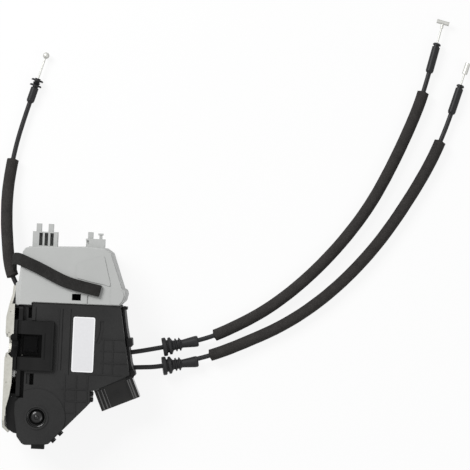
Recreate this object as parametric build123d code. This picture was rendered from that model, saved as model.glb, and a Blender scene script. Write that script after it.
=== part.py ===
from build123d import *
import math
import os

os.makedirs("parts", exist_ok=True)

# Side-door latch with a locking actuator and three Bowden cables, in millimetres.
# The striker's leg runs along X and is latched at the origin, where it passes the
# outer face of the latch plate. +X runs into the door, +Y up and +Z to the cabin.
# The latch lies on its outboard back, and the cables lie on the same surface.

# Levels from the cabin side to the outboard back
FLANGE_TOP = 24.0
BEZEL_FRONT = 23.0
WEATHER_FRONT = 21.5
COVER_FRONT = 20.0
SPLIT_Z = -2.0
BACK_Z = -26.0
WALL = 2.2
FLOOR = 2.0
PLAY = 0.3

# Latch plate
SHEET = 2.0
PLATE_TOP_Y = 47.8
PLATE_KINK_Y = 41.0
FLANGE_X = 6.4
FLANGE_TOP_Y = 33.5
DIMPLE_R = 0.6
CABLE_NOTCH_Y = 42.6
CABLE_NOTCH_HALF = 3.4
PLATE_BEND_Y = 23.0
PLATE_TOP_X = 3.6
PLATE_END_Y = -70.5
PLATE_BACK_Z = -23.0
MOUTH_HALF = 6.5
MOUTH_FLARE = 9.5
MOUTH_END_Z = -3.0
SCREW_R = 2.5
COLLAR_R = 4.5
COLLAR_LENGTH = 5.0
SCREW_PLACES = [(17.5, -17.5), (-45.5, 12.0), (-53.0, -13.0)]

# Fork bolt and pawl, which turn about X between the latch plate and the back plate
FORK_Y, FORK_Z = 14.0, 4.0
FORK_HUB = 12.5
FORK_R = 16.4
FORK_LEG_R = 27.3
FORK_LEG_FROM, FORK_LEG_TO = 18.0, 38.0
FORK_SWING = 45.0
SLOT_R = 6.2
FORK_X0, FORK_X1 = 4.4, 8.0
JACKET = 0.7
PAWL_Y, PAWL_Z = -21.0, 10.0
PAWL_HUB = 6.6
PAWL_SWING = 20.0
PIN_R = 3.0
RUN_FIT = 0.06
STUD_R = 2.5
STUD_END_X = 20.0
BACK_PLATE = 1.5
CAVITY_END_X = 11.6
CASE_X = 13.0
CASE_BOTTOM_Y = -40.8
CASE_TOP_Y = 32.0
CORNER_Z = 17.5

# Striker pocket and its bezel
POCKET_X0, POCKET_X1 = 7.0, 29.2
POCKET_Y0, POCKET_Y1 = -8.9, 9.7
POCKET_FLOOR_Z = -9.0
POCKET_WALL = 2.2
BEZEL_X0, BEZEL_X1 = 9.0, 38.4
BEZEL_Y0, BEZEL_Y1 = -19.0, 20.3
BEZEL_THICK = 3.0
BEZEL_SLOPE = 3.4
BEZEL_RIDGE = 1.6

# Gear train
WHEEL_TEETH = 36
WHEEL_PITCH_R = 17.0
WHEEL_Z0, WHEEL_Z1 = 2.0, 8.0
WORM_PITCH_R = 4.0
WORM_Z = 5.0
WORM_TURNS = 6
CRANK_R = 8.5
CRANK_PIN_R = 1.6
LOCK_CENTRES = 20.0
MOTOR_LENGTH = 20.0
MOTOR_WIDE = 20.0
MOTOR_FLAT = 15.0
MOTOR_SHAFT_R = 1.0

# Cables
SHEATH_R = 1.9
SLEEVE_R = 4.8
SLEEVE_BORE = 2.15
WIRE_R = 0.75
WIRE_BORE = 1.05
STROKE = 9.0
CABLE_Z = -14.0
NIPPLE_R = 2.0
GROMMET_R = 7.6
GROMMET_RIBS = (10.1, 13.2)
GROMMET_FIT = 0.05
GROMMET_LENGTH = 29.4
LEVER_PLATE = 2.5
LEVER_ARM = 14.0
LOCK_ARM = 12.3


def slab(points, z0, z1, radius=0.0):
    """A plan outline pulled up from z0 to z1, with its upright edges rounded."""
    outline = make_face(Polyline(*points, close=True))
    if radius:
        outline = fillet(outline.vertices(), radius)
    return extrude(Plane.XY.offset(z0) * outline, z1 - z0)


def across(points, x0, x1, radius=0.0):
    """An outline drawn in Y and Z, pulled along X from x0 to x1."""
    outline = make_face(Polyline(*points, close=True))
    if radius:
        outline = fillet(outline.vertices(), radius)
    return extrude(Plane.YZ.offset(x0) * outline, x1 - x0)


def block(x0, x1, y0, y1, z0, z1):
    return Pos((x0 + x1) / 2, (y0 + y1) / 2, (z0 + z1) / 2) * Box(x1 - x0, y1 - y0, z1 - z0)


def rod_x(radius, x0, x1, y, z):
    return extrude(Plane.YZ.offset(x0) * Pos(y, z) * Circle(radius), x1 - x0)


def rod_z(radius, z0, z1, x, y):
    return extrude(Plane.XY.offset(z0) * Pos(x, y) * Circle(radius), z1 - z0)


def rod_between(start, end, radius):
    run = Vector(*end) - Vector(*start)
    return extrude(Plane(origin=start, z_dir=run) * Circle(radius), run.length)


def write(name, shape):
    export_step(shape, f"parts/{name}.step")


# The latch plate is bent from sheet: a flat face, a sloped top and a flange to the cabin
def plate_profile():
    return [
        (0, PLATE_BEND_Y), (PLATE_TOP_X, PLATE_KINK_Y), (PLATE_TOP_X, PLATE_TOP_Y),
        (PLATE_TOP_X + SHEET, PLATE_TOP_Y), (PLATE_TOP_X + SHEET, PLATE_KINK_Y),
        (SHEET, PLATE_BEND_Y - 0.4), (SHEET, -64.5), (5.0, PLATE_END_Y + 2.2), (4.2, PLATE_END_Y),
        (0, -66.0),
    ]


def mouth_outline(spare=0.0):
    half = MOUTH_HALF + spare
    flare = MOUTH_FLARE + spare
    lip = FLANGE_TOP - 4.0
    top = FLANGE_TOP + 2.0
    return [(-flare, top), (-flare, lip + 1.0), (-half, lip - 5.0), (-half, MOUTH_END_Z),
            (-half * 0.7, MOUTH_END_Z - half * 0.7), (0, MOUTH_END_Z - half),
            (half * 0.7, MOUTH_END_Z - half * 0.7), (half, MOUTH_END_Z),
            (half, lip - 5.0), (flare, lip + 1.0), (flare, top)]


def base_plate():
    side = [(PLATE_TOP_Y, PLATE_BACK_Z + 18), (PLATE_BEND_Y, PLATE_BACK_Z), (-56, PLATE_BACK_Z),
            (PLATE_END_Y - 0.5, PLATE_BACK_Z + 12), (PLATE_END_Y - 0.5, 12), (-60, FLANGE_TOP),
            (FLANGE_TOP_Y, FLANGE_TOP), (PLATE_TOP_Y, 12)]
    sheet = slab(plate_profile(), PLATE_BACK_Z, FLANGE_TOP) & across(side, -1, 8)
    slope = PLATE_TOP_X / (PLATE_KINK_Y - PLATE_BEND_Y)
    top_x = slope * (FLANGE_TOP_Y - PLATE_BEND_Y)
    flange = slab([(0, PLATE_BEND_Y), (top_x, FLANGE_TOP_Y), (FLANGE_X, FLANGE_TOP_Y), (FLANGE_X, -30),
                   (5, -40), (2.6, -50), (2.6, -56), (0, -58)], FLANGE_TOP - SHEET, FLANGE_TOP)
    plate = sheet + flange
    for x, y in ((2.8, 10.3), (2.3, -29.5), (3.4, 27.0)):
        plate -= rod_z(DIMPLE_R, FLANGE_TOP - 0.8, FLANGE_TOP + 1, x, y)
    plate -= across(mouth_outline(), -1, SHEET + 0.01)
    half_octagon = [(8.5, MOUTH_FLARE), (5.5, MOUTH_FLARE), (2.6, MOUTH_HALF), (-1, MOUTH_HALF),
                    (-1, -MOUTH_HALF), (2.6, -MOUTH_HALF), (5.5, -MOUTH_FLARE), (8.5, -MOUTH_FLARE)]
    plate -= slab(half_octagon, FLANGE_TOP - SHEET - 1, FLANGE_TOP + 1)
    plate -= block(-1, FLANGE_X + 1, CABLE_NOTCH_Y, PLATE_TOP_Y + 1, -CABLE_NOTCH_HALF, CABLE_NOTCH_HALF)
    for y, z in SCREW_PLACES:
        plate += rod_x(COLLAR_R, SHEET - 0.01, COLLAR_LENGTH, y, z)
    for y, z in SCREW_PLACES:
        plate -= rod_x(SCREW_R, -1, COLLAR_LENGTH + 1, y, z)
    for y, z in ((FORK_Y, FORK_Z), (PAWL_Y, PAWL_Z)):
        plate -= rod_x(PIN_R, -1, SHEET + 1, y, z)
    return plate


def fork_outline():
    """The fork bolt's face at the latched position, in Y and Z."""
    def ring_point(radius, degrees):
        turn = math.radians(degrees)
        return FORK_Y - radius * math.cos(turn), FORK_Z - radius * math.sin(turn)

    hub = Pos(FORK_Y, FORK_Z) * Circle(FORK_HUB)
    front = make_face(Polyline((FORK_Y, FORK_Z), *[ring_point(FORK_R, a) for a in range(-60, 55, 5)],
                               close=True))
    leg = make_face(Polyline(ring_point(6, FORK_LEG_FROM), ring_point(FORK_LEG_R, FORK_LEG_FROM),
                             ring_point(FORK_LEG_R, (FORK_LEG_FROM + FORK_LEG_TO) / 2),
                             ring_point(FORK_LEG_R - 0.8, FORK_LEG_TO), ring_point(14, 52),
                             close=True))
    slot = Pos(0, 0) * Circle(SLOT_R) + Pos(-20, 0) * Rectangle(40, 2 * SLOT_R)
    return hub + front + leg - slot


def turn_x(shape, y, z, degrees):
    return Pos(0, y, z) * Rot(degrees, 0, 0) * Pos(0, -y, -z) * shape


def fork_parts():
    outline = fork_outline()
    core = extrude(Plane.YZ.offset(FORK_X0) * offset(outline, -JACKET), FORK_X1 - FORK_X0)
    jacket = extrude(Plane.YZ.offset(FORK_X0 - JACKET) * outline, FORK_X1 - FORK_X0 + 2 * JACKET)
    jacket -= core
    bore = rod_x(PIN_R + RUN_FIT, 0, 12, FORK_Y, FORK_Z)
    window = rod_x(PIN_R + 3.5, 0, 12, FORK_Y, FORK_Z)
    return [turn_x(part, FORK_Y, FORK_Z, -FORK_SWING) for part in (core - bore, jacket - window)]


def pawl():
    nose = [(-8.9, -3.9), (-10.2, 1.0), (-14.1, 0.6), (-14.9, 7.0), (-20.5, 15.5), (-27, 12),
            (-27.4, 4), (-26.5, -7.5), (-21.5, -8.5), (-14, -5.2), (-11.2, -4.9)]
    body = across(nose, FORK_X0 - 0.3, FORK_X1 + 0.3, 0.6)
    body += rod_x(PAWL_HUB, FORK_X0 - 0.3, FORK_X1 + 0.3, PAWL_Y, PAWL_Z)
    body += rod_x(STUD_R, FORK_X1, STUD_END_X, -24.0, -5.5)
    body -= rod_x(PIN_R + RUN_FIT, 0, 12, PAWL_Y, PAWL_Z)
    return turn_x(body, PAWL_Y, PAWL_Z, -PAWL_SWING)


def back_plate():
    x0 = CAVITY_END_X - BACK_PLATE
    outline = [(-32, -15), (-32, 17), (-12, 19), (-12, -12), (-8, -16), (9, -16), (13, -12), (13, 19),
               (27, 17), (28, -6), (22, -19.2), (-20, -19.2)]
    plate = across(outline, x0, CAVITY_END_X, 1.5)
    plate -= rod_x(PIN_R, 0, 20, FORK_Y, FORK_Z) + rod_x(PIN_R, 0, 20, PAWL_Y, PAWL_Z)
    return plate - stud_window(0, 20)


def stud_window(x0, x1):
    return across([(-37.5, -10.5), (-18.5, -10.5), (-18.5, 0.5), (-37.5, 0.5)], x0, x1, 2.0)


def latch_case():
    case = across([(CASE_BOTTOM_Y, -22), (CASE_TOP_Y, -22), (CASE_TOP_Y, 21.9), (CASE_BOTTOM_Y, 21.9)],
                  SHEET, CASE_X, 2.5)
    cavity = across([(-38.6, -19.5), (30, -19.5), (30, 20.4), (-38.6, 20.4)], SHEET - 1, CAVITY_END_X, 3.0)
    case -= cavity
    case -= pocket_room()
    case -= bezel_block()
    case -= across(mouth_outline(0.4), 0, POCKET_X0 + 1)
    case -= block(0, FLANGE_X + PLAY, -60, 60, FLANGE_TOP - SHEET - 0.1, 30)
    case -= block(0, 9.8, BEZEL_Y1 + 0.5, CASE_TOP_Y + 1, CORNER_Z, 30)
    case -= block(0, 9.8, CASE_BOTTOM_Y - 1, BEZEL_Y0 - 0.5, CORNER_Z, 30)
    case -= stud_window(5, 14)
    case -= rod_x(COLLAR_R + PLAY, 0, 14, *SCREW_PLACES[0])
    case -= slab([(-1, PLATE_BEND_Y - 0.4), (SHEET, PLATE_BEND_Y - 0.4), (PLATE_TOP_X + SHEET, PLATE_KINK_Y),
                  (-1, PLATE_KINK_Y)], BACK_Z, FLANGE_TOP)
    return case - cable_passages(INNER_FERRULE_R + PLAY)


def pocket_room():
    return block(POCKET_X0, POCKET_X1, POCKET_Y0, POCKET_Y1, POCKET_FLOOR_Z, 30)


def bezel_block():
    return block(BEZEL_X0, BEZEL_X1, BEZEL_Y0, BEZEL_Y1, BEZEL_FRONT - BEZEL_THICK, BEZEL_FRONT)


def striker_tray():
    """The pocket that takes the striker loop, with the bezel round its mouth."""
    tray = block(CASE_X, POCKET_X1 + POCKET_WALL, POCKET_Y0 - POCKET_WALL, POCKET_Y1 + POCKET_WALL,
                 POCKET_FLOOR_Z - POCKET_WALL, BEZEL_FRONT - BEZEL_THICK)
    left_slope = extrude(Plane.XZ.offset(-BEZEL_Y1 - 1) * make_face(Polyline(
        (BEZEL_X0 - 1, BEZEL_FRONT + 1), (BEZEL_X0 + BEZEL_SLOPE, BEZEL_FRONT + 1),
        (BEZEL_X0 + BEZEL_SLOPE, BEZEL_FRONT), (BEZEL_X0, BEZEL_FRONT - BEZEL_THICK + 0.6),
        (BEZEL_X0 - 1, BEZEL_FRONT - BEZEL_THICK + 0.6), close=True)), BEZEL_Y1 - BEZEL_Y0 + 2)
    bezel = bezel_block() - left_slope
    bezel += block(BEZEL_X1 - BEZEL_RIDGE, BEZEL_X1, BEZEL_Y0 + 1.5, BEZEL_Y1 - 1.5, BEZEL_FRONT - 0.1,
                   BEZEL_FRONT + 0.7)
    bezel -= block(POCKET_X1 + 2.0, POCKET_X1 + 3.0, POCKET_Y0 - 1, POCKET_Y1 + 1, BEZEL_FRONT - 0.6,
                   BEZEL_FRONT + 1)
    return tray + bezel - pocket_room()


def bump_stop():
    return block(POCKET_X0 + 5, POCKET_X1 - 6, POCKET_Y0 + 3, POCKET_Y1 - 3, POCKET_FLOOR_Z,
                 POCKET_FLOOR_Z + 2.0)


def pivot_pin(y, z):
    return rod_x(PIN_R, 0, CAVITY_END_X, y, z)


# The plastic module: a back shell, a front cover, a weather cover and a cable cover
COVER_OUTLINE = [(13.0, 32.6), (20.2, 32.6), (20.2, 34.7), (90.3, 34.9), (99.9, -19.6),
                 (72.9, -33.2), (68.8, -33.4), (69.2, -43.7), (66.7, -46.6), (37.7, -77.6),
                 (33.7, -78.5), (17.1, -79.2), (12.0, -72.6), (9.1, -53.3), (9.3, -45.1),
                 (13.0, -41.0)]
WEATHER_OUTLINE = [(6.5, 32.9), (19.6, 32.9), (19.6, 35.2), (90.0, 35.4), (93.5, 38.8), (94.7, 44.2),
                   (93.9, 47.3), (91.5, 48.7), (81.4, 77.0), (76.3, 80.5), (60.1, 81.4),
                   (17.3, 79.6), (12.7, 78.8), (10.6, 75.7), (8.2, 52.0), (6.0, 50.0), (6.0, 44.2)]
BOSS_X, BOSS_Y = 27.2, -56.7
BOSS_HOLE_R = 7.2
BOSS_PAD_R = 23.0


def latch_room(spare):
    """The space that the latch case's tray and bezel take in the module."""
    room = block(0, POCKET_X1 + POCKET_WALL + spare, POCKET_Y0 - POCKET_WALL - spare,
                 POCKET_Y1 + POCKET_WALL + spare, POCKET_FLOOR_Z - POCKET_WALL - spare, 40)
    room += block(0, BEZEL_X1 + spare, BEZEL_Y0 - spare, BEZEL_Y1 + spare,
                  BEZEL_FRONT - BEZEL_THICK - spare, 40)
    return room


def cable_line(start, after):
    return Vector(*start), (Vector(*after) - Vector(*start)).normalized()


CABLE_A = [(92.0, -4.0, CABLE_Z), (101.5, -2.8, CABLE_Z), (120.0, 1.0, -17.9), (158.0, 9.6, -18.5),
           (182.6, 21.1, -20.8), (209.2, 36.9, -21.1), (236.8, 60.0, -21.1), (264.2, 89.9, -21.1),
           (287.9, 123.4, -21.1), (306.4, 160.9, -21.1), (323.0, 202.4, -21.1), (329.0, 223.2, -21.1),
           (332.9, 240.1, -21.1)]
CABLE_B = [(92.0, -16.0, CABLE_Z), (104.0, -15.1, CABLE_Z), (123.5, -14.1, -17.9),
           (163.5, -3.6, -18.6), (191.0, 8.4, -21.0), (221.5, 23.6, -21.1), (248.5, 42.8, -21.1),
           (273.8, 66.6, -21.1), (297.2, 95.0, -21.1), (317.2, 126.2, -21.1), (335.6, 160.0, -21.1),
           (347.6, 189.9, -21.1), (352.6, 207.2, -21.1)]
CABLE_C = [(12.0, 37.4, 0.0), (3.0, 50.0, 0.0), (-2.2, 64.0, -3.0), (-5.0, 82.0, -8.0),
           (-7.4, 103.0, -14.0), (-8.0, 125.4, -19.5), (-4.8, 151.6, -21.2), (0.4, 176.0, -21.4),
           (7.9, 201.0, -21.4)]


def route(points):
    """The cable's line: straight runs joined by arcs as large as the runs allow."""
    spots = [Vector(*point) for point in points]
    radii = []
    for before, here, after in zip(spots, spots[1:], spots[2:]):
        arriving, leaving = here - before, after - here
        half_turn = math.radians(arriving.get_angle(leaving)) / 2
        radii.append(0.45 * min(arriving.length, leaving.length) / math.tan(half_turn))
    return FilletPolyline(*points, radius=radii)


def tube_on(path, outer, bore=0.0):
    start = Plane(origin=path @ 0, z_dir=path % 0)
    ring = Circle(outer) - Circle(bore) if bore else Circle(outer)
    return sweep(start * ring, path=path)


def sleeve_on(path, start_mm, end_mm):
    part = path.trim(start_mm / path.length, end_mm / path.length)
    return tube_on(part, SLEEVE_R, SLEEVE_BORE)


def revolved(profile, origin, direction):
    """A turned piece: profile points are (distance along, radius), closed on its bore."""
    frame = Plane(origin=origin, z_dir=direction)
    outline = make_face(Polyline(*[(radius, along) for along, radius in profile], close=True))
    flat = Plane(origin=origin, x_dir=frame.x_dir, z_dir=-frame.y_dir) * outline
    return revolve(flat, Axis(origin, direction), 360)


INNER_FERRULE = 14.0
INNER_FERRULE_R = 3.0
FERRULE_NOSE = 3.4
FERRULE_NOSE_R = 1.5
SEAT = 3.0


def inner_ferrule(points):
    """The sleeve that ends a cable's sheath inside the housing."""
    start, ahead = cable_line(points[0], points[1])
    back = SEAT - INNER_FERRULE
    shoulder = back + FERRULE_NOSE
    profile = [(back, WIRE_BORE), (back, FERRULE_NOSE_R), (shoulder, FERRULE_NOSE_R),
               (shoulder, INNER_FERRULE_R), (SEAT, INNER_FERRULE_R), (SEAT, SHEATH_R), (0, SHEATH_R),
               (0, WIRE_BORE)]
    return revolved(profile, start, ahead)


def wire_tail(points, plate_low):
    """The cable's inner wire end with its barrel, at rest."""
    start, ahead = cable_line(points[0], points[1])
    barrel = start + ahead * (SEAT - INNER_FERRULE - 2.6 - STROKE)
    wire = rod_between(barrel, start + ahead * (SEAT - INNER_FERRULE + 2.0), WIRE_R)
    z0, z1 = (barrel.Z - 4.6, barrel.Z + 1.5) if plate_low else (barrel.Z - 1.5, barrel.Z + 4.6)
    return wire + rod_z(NIPPLE_R, z0, z1, barrel.X, barrel.Y)


OUTER_FERRULE_R = 3.2
OUTER_SEAT = 4.0


def outer_ferrule(points, length, discs):
    """The turned fitting on a cable's far end, with its discs at the given places."""
    end, ahead = cable_line(points[-1], points[-2])
    ahead = -ahead
    profile = [(-OUTER_SEAT, SHEATH_R), (-OUTER_SEAT, OUTER_FERRULE_R - 0.6),
               (-OUTER_SEAT + 1.5, OUTER_FERRULE_R)]
    for place, radius, thick in discs:
        profile += [(place - 1.2, OUTER_FERRULE_R), (place - 1.0, OUTER_FERRULE_R - 0.9),
                    (place, OUTER_FERRULE_R - 0.9), (place, radius), (place + thick * 0.6, radius),
                    (place + thick, radius - 0.7), (place + thick, OUTER_FERRULE_R - 0.9)]
    profile += [(length, OUTER_FERRULE_R - 0.9), (length, WIRE_BORE), (0, WIRE_BORE), (0, SHEATH_R)]
    return revolved(profile, end, ahead)


def wire_end(points, ferrule_length, reach, kind):
    """The cable's outer wire end with its cast nipple, at rest."""
    end, ahead = cable_line(points[-1], points[-2])
    ahead = -ahead
    wire = rod_between(end + ahead * (ferrule_length - STROKE - 2.5), end + ahead * reach, WIRE_R)
    tip = end + ahead * reach
    side = Vector(-ahead.Y, ahead.X, 0).normalized()
    if kind == "tee":
        bar = rod_between(tip - side * 5.1, tip + side * 5.1, 1.7)
        return wire + bar + rod_between(tip - ahead * 5.0, tip, 1.2)
    if kind == "barrel":
        return wire + rod_between(tip - ahead * 3.0, tip + ahead * 6.4, 2.15)
    return wire + Pos(*tip) * Sphere(2.65)


def grommet(path, start_mm):
    """A rubber plug: two fixing discs, two ribs and a tail that widens to its end."""
    place = start_mm / path.length
    profile = [(0, 0), (0, 7.2), (0.7, GROMMET_R), (2.6, GROMMET_R), (3.3, 7.0), (3.6, 5.2),
               (4.6, 5.2), (5.0, 6.8), (5.6, GROMMET_R - 0.5), (6.9, GROMMET_R - 0.6), (8.6, 4.2)]
    for along in GROMMET_RIBS:
        profile += [(along, 3.9), (along + 0.4, 5.2), (along + 0.9, 5.5), (along + 1.4, 5.2),
                    (along + 1.9, 3.9)]
    profile += [(16.2, 3.3), (26.6, 4.5), (28.4, 4.5), (GROMMET_LENGTH, 3.9),
                (GROMMET_LENGTH, 0)]
    bore = path.trim((start_mm - 2) / path.length, (start_mm + GROMMET_LENGTH + 2) / path.length)
    return revolved(profile, path @ place, path % place) - tube_on(bore, SHEATH_R + GROMMET_FIT)


# Levers, worm gear and motor
WHEEL_RIM_Z0, WHEEL_RIM_Z1 = 3.5, 6.5
WHEEL_SWING = 75.0
AXLE_R = 1.5
OUTSIDE_ARM = 9.5
LINK_ARM = 7.0
LINK_PIN_R = 1.3
LEVER_GAP = 0.4
LEVER_PAD_R = 4.6


def lever_foot(points):
    """Where a cable's barrel is half way through its stroke, and the way it is pulled."""
    start, ahead = cable_line(points[0], points[1])
    return start + ahead * (SEAT - INNER_FERRULE - 2.6 - STROKE / 2), ahead


def lever_pivot(points, side_sign, arm):
    foot, ahead = lever_foot(points)
    return foot + Vector(-ahead.Y, ahead.X, 0).normalized() * (side_sign * arm)


def wire_lever(points, side_sign, arm, plate_z0, hub_z0, extra=None):
    """A lever plate that embraces a cable's barrel, turned back to its rest."""
    foot, ahead = lever_foot(points)
    pivot = lever_pivot(points, side_sign, arm)
    angle = math.degrees(math.atan2(foot.Y - pivot.Y, foot.X - pivot.X))
    plan = Pos(arm / 2, 0) * Rectangle(arm, 6.4) + Circle(4.2) + Pos(arm, 0) * Circle(LEVER_PAD_R)
    plan -= Pos(arm, 0) * SlotCenterToCenter(2.4, 2 * (NIPPLE_R + 0.35))
    plan = Rot(0, 0, angle) * plan
    if extra is not None:
        plan += extra
    body = extrude(Plane.XY.offset(plate_z0) * plan, LEVER_PLATE)
    body += rod_z(3.6, hub_z0, plate_z0 + LEVER_PLATE, 0, 0)
    body -= rod_z(AXLE_R + RUN_FIT, hub_z0 - 1, plate_z0 + LEVER_PLATE + 1, 0, 0)
    return pivot, body, -side_sign * math.degrees(STROKE / arm) / 2


def seat_lever(pivot, body, rest_turn):
    return Pos(pivot.X, pivot.Y, 0) * Rot(0, 0, rest_turn) * body


LOW_PLATE_Z = CABLE_Z - WIRE_R - LEVER_GAP - LEVER_PLATE - 0.75
HIGH_PLATE_Z = CABLE_Z + WIRE_R + LEVER_GAP + 0.75
OUTSIDE_PLATE_Z = -4.9

INSIDE_PIVOT = lever_pivot(CABLE_A, 1, LEVER_ARM)
LOCK_PIVOT = lever_pivot(CABLE_B, 1, LOCK_ARM)
OUTSIDE_PIVOT = lever_pivot(CABLE_C, -1, OUTSIDE_ARM)
WHEEL_X, WHEEL_Y = LOCK_PIVOT.X - LOCK_CENTRES, LOCK_PIVOT.Y
WORM_Y = WHEEL_Y + WHEEL_PITCH_R + WORM_PITCH_R
MOTOR_X0 = WHEEL_X + 12.6
MOTOR_X1 = MOTOR_X0 + MOTOR_LENGTH
POST_R = 3.0
BEARING_X = WHEEL_X - 12.6


def inside_lever():
    tail = Rot(0, 0, 140) * (Pos(4, 0) * Rectangle(8, 4) + Pos(8, 0) * Circle(2))
    return seat_lever(*wire_lever(CABLE_A, 1, LEVER_ARM, HIGH_PLATE_Z, CABLE_Z - 0.5, tail))


def lock_lever():
    reach = LOCK_CENTRES - CRANK_R + 4.2
    half = CRANK_PIN_R + 0.85
    fork = Pos(-reach / 2, 0) * Rectangle(reach, 2 * (half + 2.4))
    fork -= Pos(-reach, 0) * Rectangle(2 * 7.2, 2 * half)
    return seat_lever(*wire_lever(CABLE_B, 1, LOCK_ARM, LOW_PLATE_Z, BACK_Z + FLOOR + PLAY, fork))


def outside_lever():
    arm = Pos(LINK_ARM / 2, 0) * Rectangle(LINK_ARM, 4.4) + Pos(LINK_ARM, 0) * Circle(2.2)
    pivot, body, turn = wire_lever(CABLE_C, -1, OUTSIDE_ARM, OUTSIDE_PLATE_Z, OUTSIDE_PLATE_Z - 3, arm)
    body += rod_z(LINK_PIN_R, -17.0, OUTSIDE_PLATE_Z + 0.5, LINK_ARM, 0)
    return seat_lever(pivot, body, turn)


def release_link():
    """The link that carries the outside lever's pull down to the pawl's stud."""
    rest = math.radians(math.degrees(STROKE / OUTSIDE_ARM) / 2)
    pin_y = OUTSIDE_PIVOT.Y + LINK_ARM * math.sin(rest)
    x = OUTSIDE_PIVOT.X + LINK_ARM - 0.4
    strip = slab([(x - 1.8, -18), (x - 1.8, 20), (x - 3.2, pin_y - 3.4), (x - 3.2, pin_y + 3),
                  (x + 3.2, pin_y + 3), (x + 3.2, pin_y - 3.4), (x + 1.8, 20), (x + 1.8, -24),
                  (21.5, -24), (21.5, -18)], -16.5, -13.5)
    strip -= Pos(x, pin_y, -15) * extrude(SlotCenterToCenter(1.6, 2 * LINK_PIN_R + 0.7), 4, both=True)
    return strip + block(21.5, 24.5, -24, -18, -14, -3)


def worm_wheel():
    module = 2 * WHEEL_PITCH_R / WHEEL_TEETH
    tip, root = WHEEL_PITCH_R + 0.9 * module, WHEEL_PITCH_R - 1.25 * module
    tooth = make_face(Polyline((root - 0.5, -0.8 * module), (root, -0.8 * module), (tip, -0.3 * module),
                               (tip, 0.3 * module), (root, 0.8 * module), (root - 0.5, 0.8 * module),
                               close=True))
    rim = Circle(root)
    for place in range(WHEEL_TEETH):
        rim += Rot(0, 0, (place + 0.5) * 360 / WHEEL_TEETH) * tooth
    body = extrude(Plane.XY.offset(WHEEL_RIM_Z0) * rim, WHEEL_RIM_Z1 - WHEEL_RIM_Z0)
    body -= extrude(Plane.XY.offset(WHEEL_RIM_Z1 - 1.0) * (Circle(root - 1.6) - Circle(5)), 2)
    body += rod_z(4.0, WHEEL_Z0, WHEEL_Z1, 0, 0)
    rest = math.radians(WHEEL_SWING / 2)
    crank_x, crank_y = CRANK_R * math.cos(rest), CRANK_R * math.sin(rest)
    body += rod_z(CRANK_PIN_R, LOW_PLATE_Z - PLAY, WHEEL_RIM_Z0 + 0.5, crank_x, crank_y)
    body -= rod_z(AXLE_R + RUN_FIT, -30, 30, 0, 0)
    return Pos(WHEEL_X, WHEEL_Y, 0) * body


def worm():
    module = 2 * WHEEL_PITCH_R / WHEEL_TEETH
    pitch = math.pi * module
    tip, root = WORM_PITCH_R + 0.9 * module, WORM_PITCH_R - 1.2 * module
    line = Helix(pitch=pitch, height=pitch * WORM_TURNS, radius=WORM_PITCH_R)
    flank = Face(Wire.make_polygon([Vector(root - 0.3, 0, -0.82 * module), Vector(tip, 0, -0.26 * module),
                                    Vector(tip, 0, 0.26 * module), Vector(root - 0.3, 0, 0.82 * module)]))
    thread = sweep(flank, path=line, is_frenet=True)
    length = pitch * WORM_TURNS
    core = Pos(0, 0, length / 2) * (Cylinder(root, length + 2.4) - Cylinder(MOTOR_SHAFT_R, length + 4))
    body = core + thread
    start = Plane(origin=(WHEEL_X - length / 2, WORM_Y, WORM_Z), x_dir=(0, -1, 0), z_dir=(1, 0, 0))
    return start * body


def motor_profile(inset):
    return (Circle(MOTOR_WIDE / 2 - inset)
            & Rectangle(MOTOR_FLAT - 2 * inset, MOTOR_WIDE))


def motor_can():
    place = Plane.YZ.offset(MOTOR_X0) * Pos(WORM_Y, WORM_Z)
    can = extrude(place * motor_profile(0), MOTOR_LENGTH)
    can -= extrude(Plane.YZ.offset(MOTOR_X0 + 1) * Pos(WORM_Y, WORM_Z) * motor_profile(1.0), MOTOR_LENGTH)
    can += rod_x(3.0, MOTOR_X0 - 1.2, MOTOR_X0 + 0.5, WORM_Y, WORM_Z)
    return can - rod_x(MOTOR_SHAFT_R + RUN_FIT, MOTOR_X0 - 2, MOTOR_X0 + 3, WORM_Y, WORM_Z)


def motor_end_cap():
    cap = extrude(Plane.YZ.offset(MOTOR_X1) * Pos(WORM_Y, WORM_Z) * motor_profile(0), 1.8)
    cap += rod_x(3.2, MOTOR_X1 + 1.5, MOTOR_X1 + 2.6, WORM_Y, WORM_Z)
    cap += extrude(Plane.YZ.offset(MOTOR_X1 - 2) * Pos(WORM_Y, WORM_Z) * motor_profile(1.0), 2.2)
    return cap - rod_x(MOTOR_SHAFT_R + RUN_FIT, MOTOR_X1 - 3, MOTOR_X1 + 1.5, WORM_Y, WORM_Z)


def motor_shaft():
    return rod_x(MOTOR_SHAFT_R, BEARING_X + 0.4, MOTOR_X1 + 1.4, WORM_Y, WORM_Z)


def motor_armature():
    core = rod_x(6.2, MOTOR_X0 + 3, MOTOR_X1 - 7, WORM_Y, WORM_Z)
    core += rod_x(3.0, MOTOR_X1 - 8, MOTOR_X1 - 3, WORM_Y, WORM_Z)
    for place in range(3):
        angle = math.radians(120 * place + 60)
        y, z = WORM_Y + 6.2 * math.cos(angle), WORM_Z + 6.2 * math.sin(angle)
        core -= rod_x(1.3, MOTOR_X0 + 2, MOTOR_X1 - 6, y, z)
    return core - rod_x(MOTOR_SHAFT_R, MOTOR_X0, MOTOR_X1, WORM_Y, WORM_Z)


def axle(pivot, low, high):
    return rod_z(AXLE_R, low, high, pivot.X, pivot.Y)


# The connector hangs from the module's lower edge, turned by its own angle
CONNECTOR_TURN = 23.6
CONNECTOR_X, CONNECTOR_Y = 71.4, -34.6
CONNECTOR_LONG, CONNECTOR_DEEP = 32.6, 17.8
CONNECTOR_Z0, CONNECTOR_Z1 = -13.0, 3.0
CONNECTOR_WALL = 1.6


def connector_frame(shape):
    return Pos(CONNECTOR_X, CONNECTOR_Y, 0) * Rot(0, 0, CONNECTOR_TURN) * shape


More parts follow.
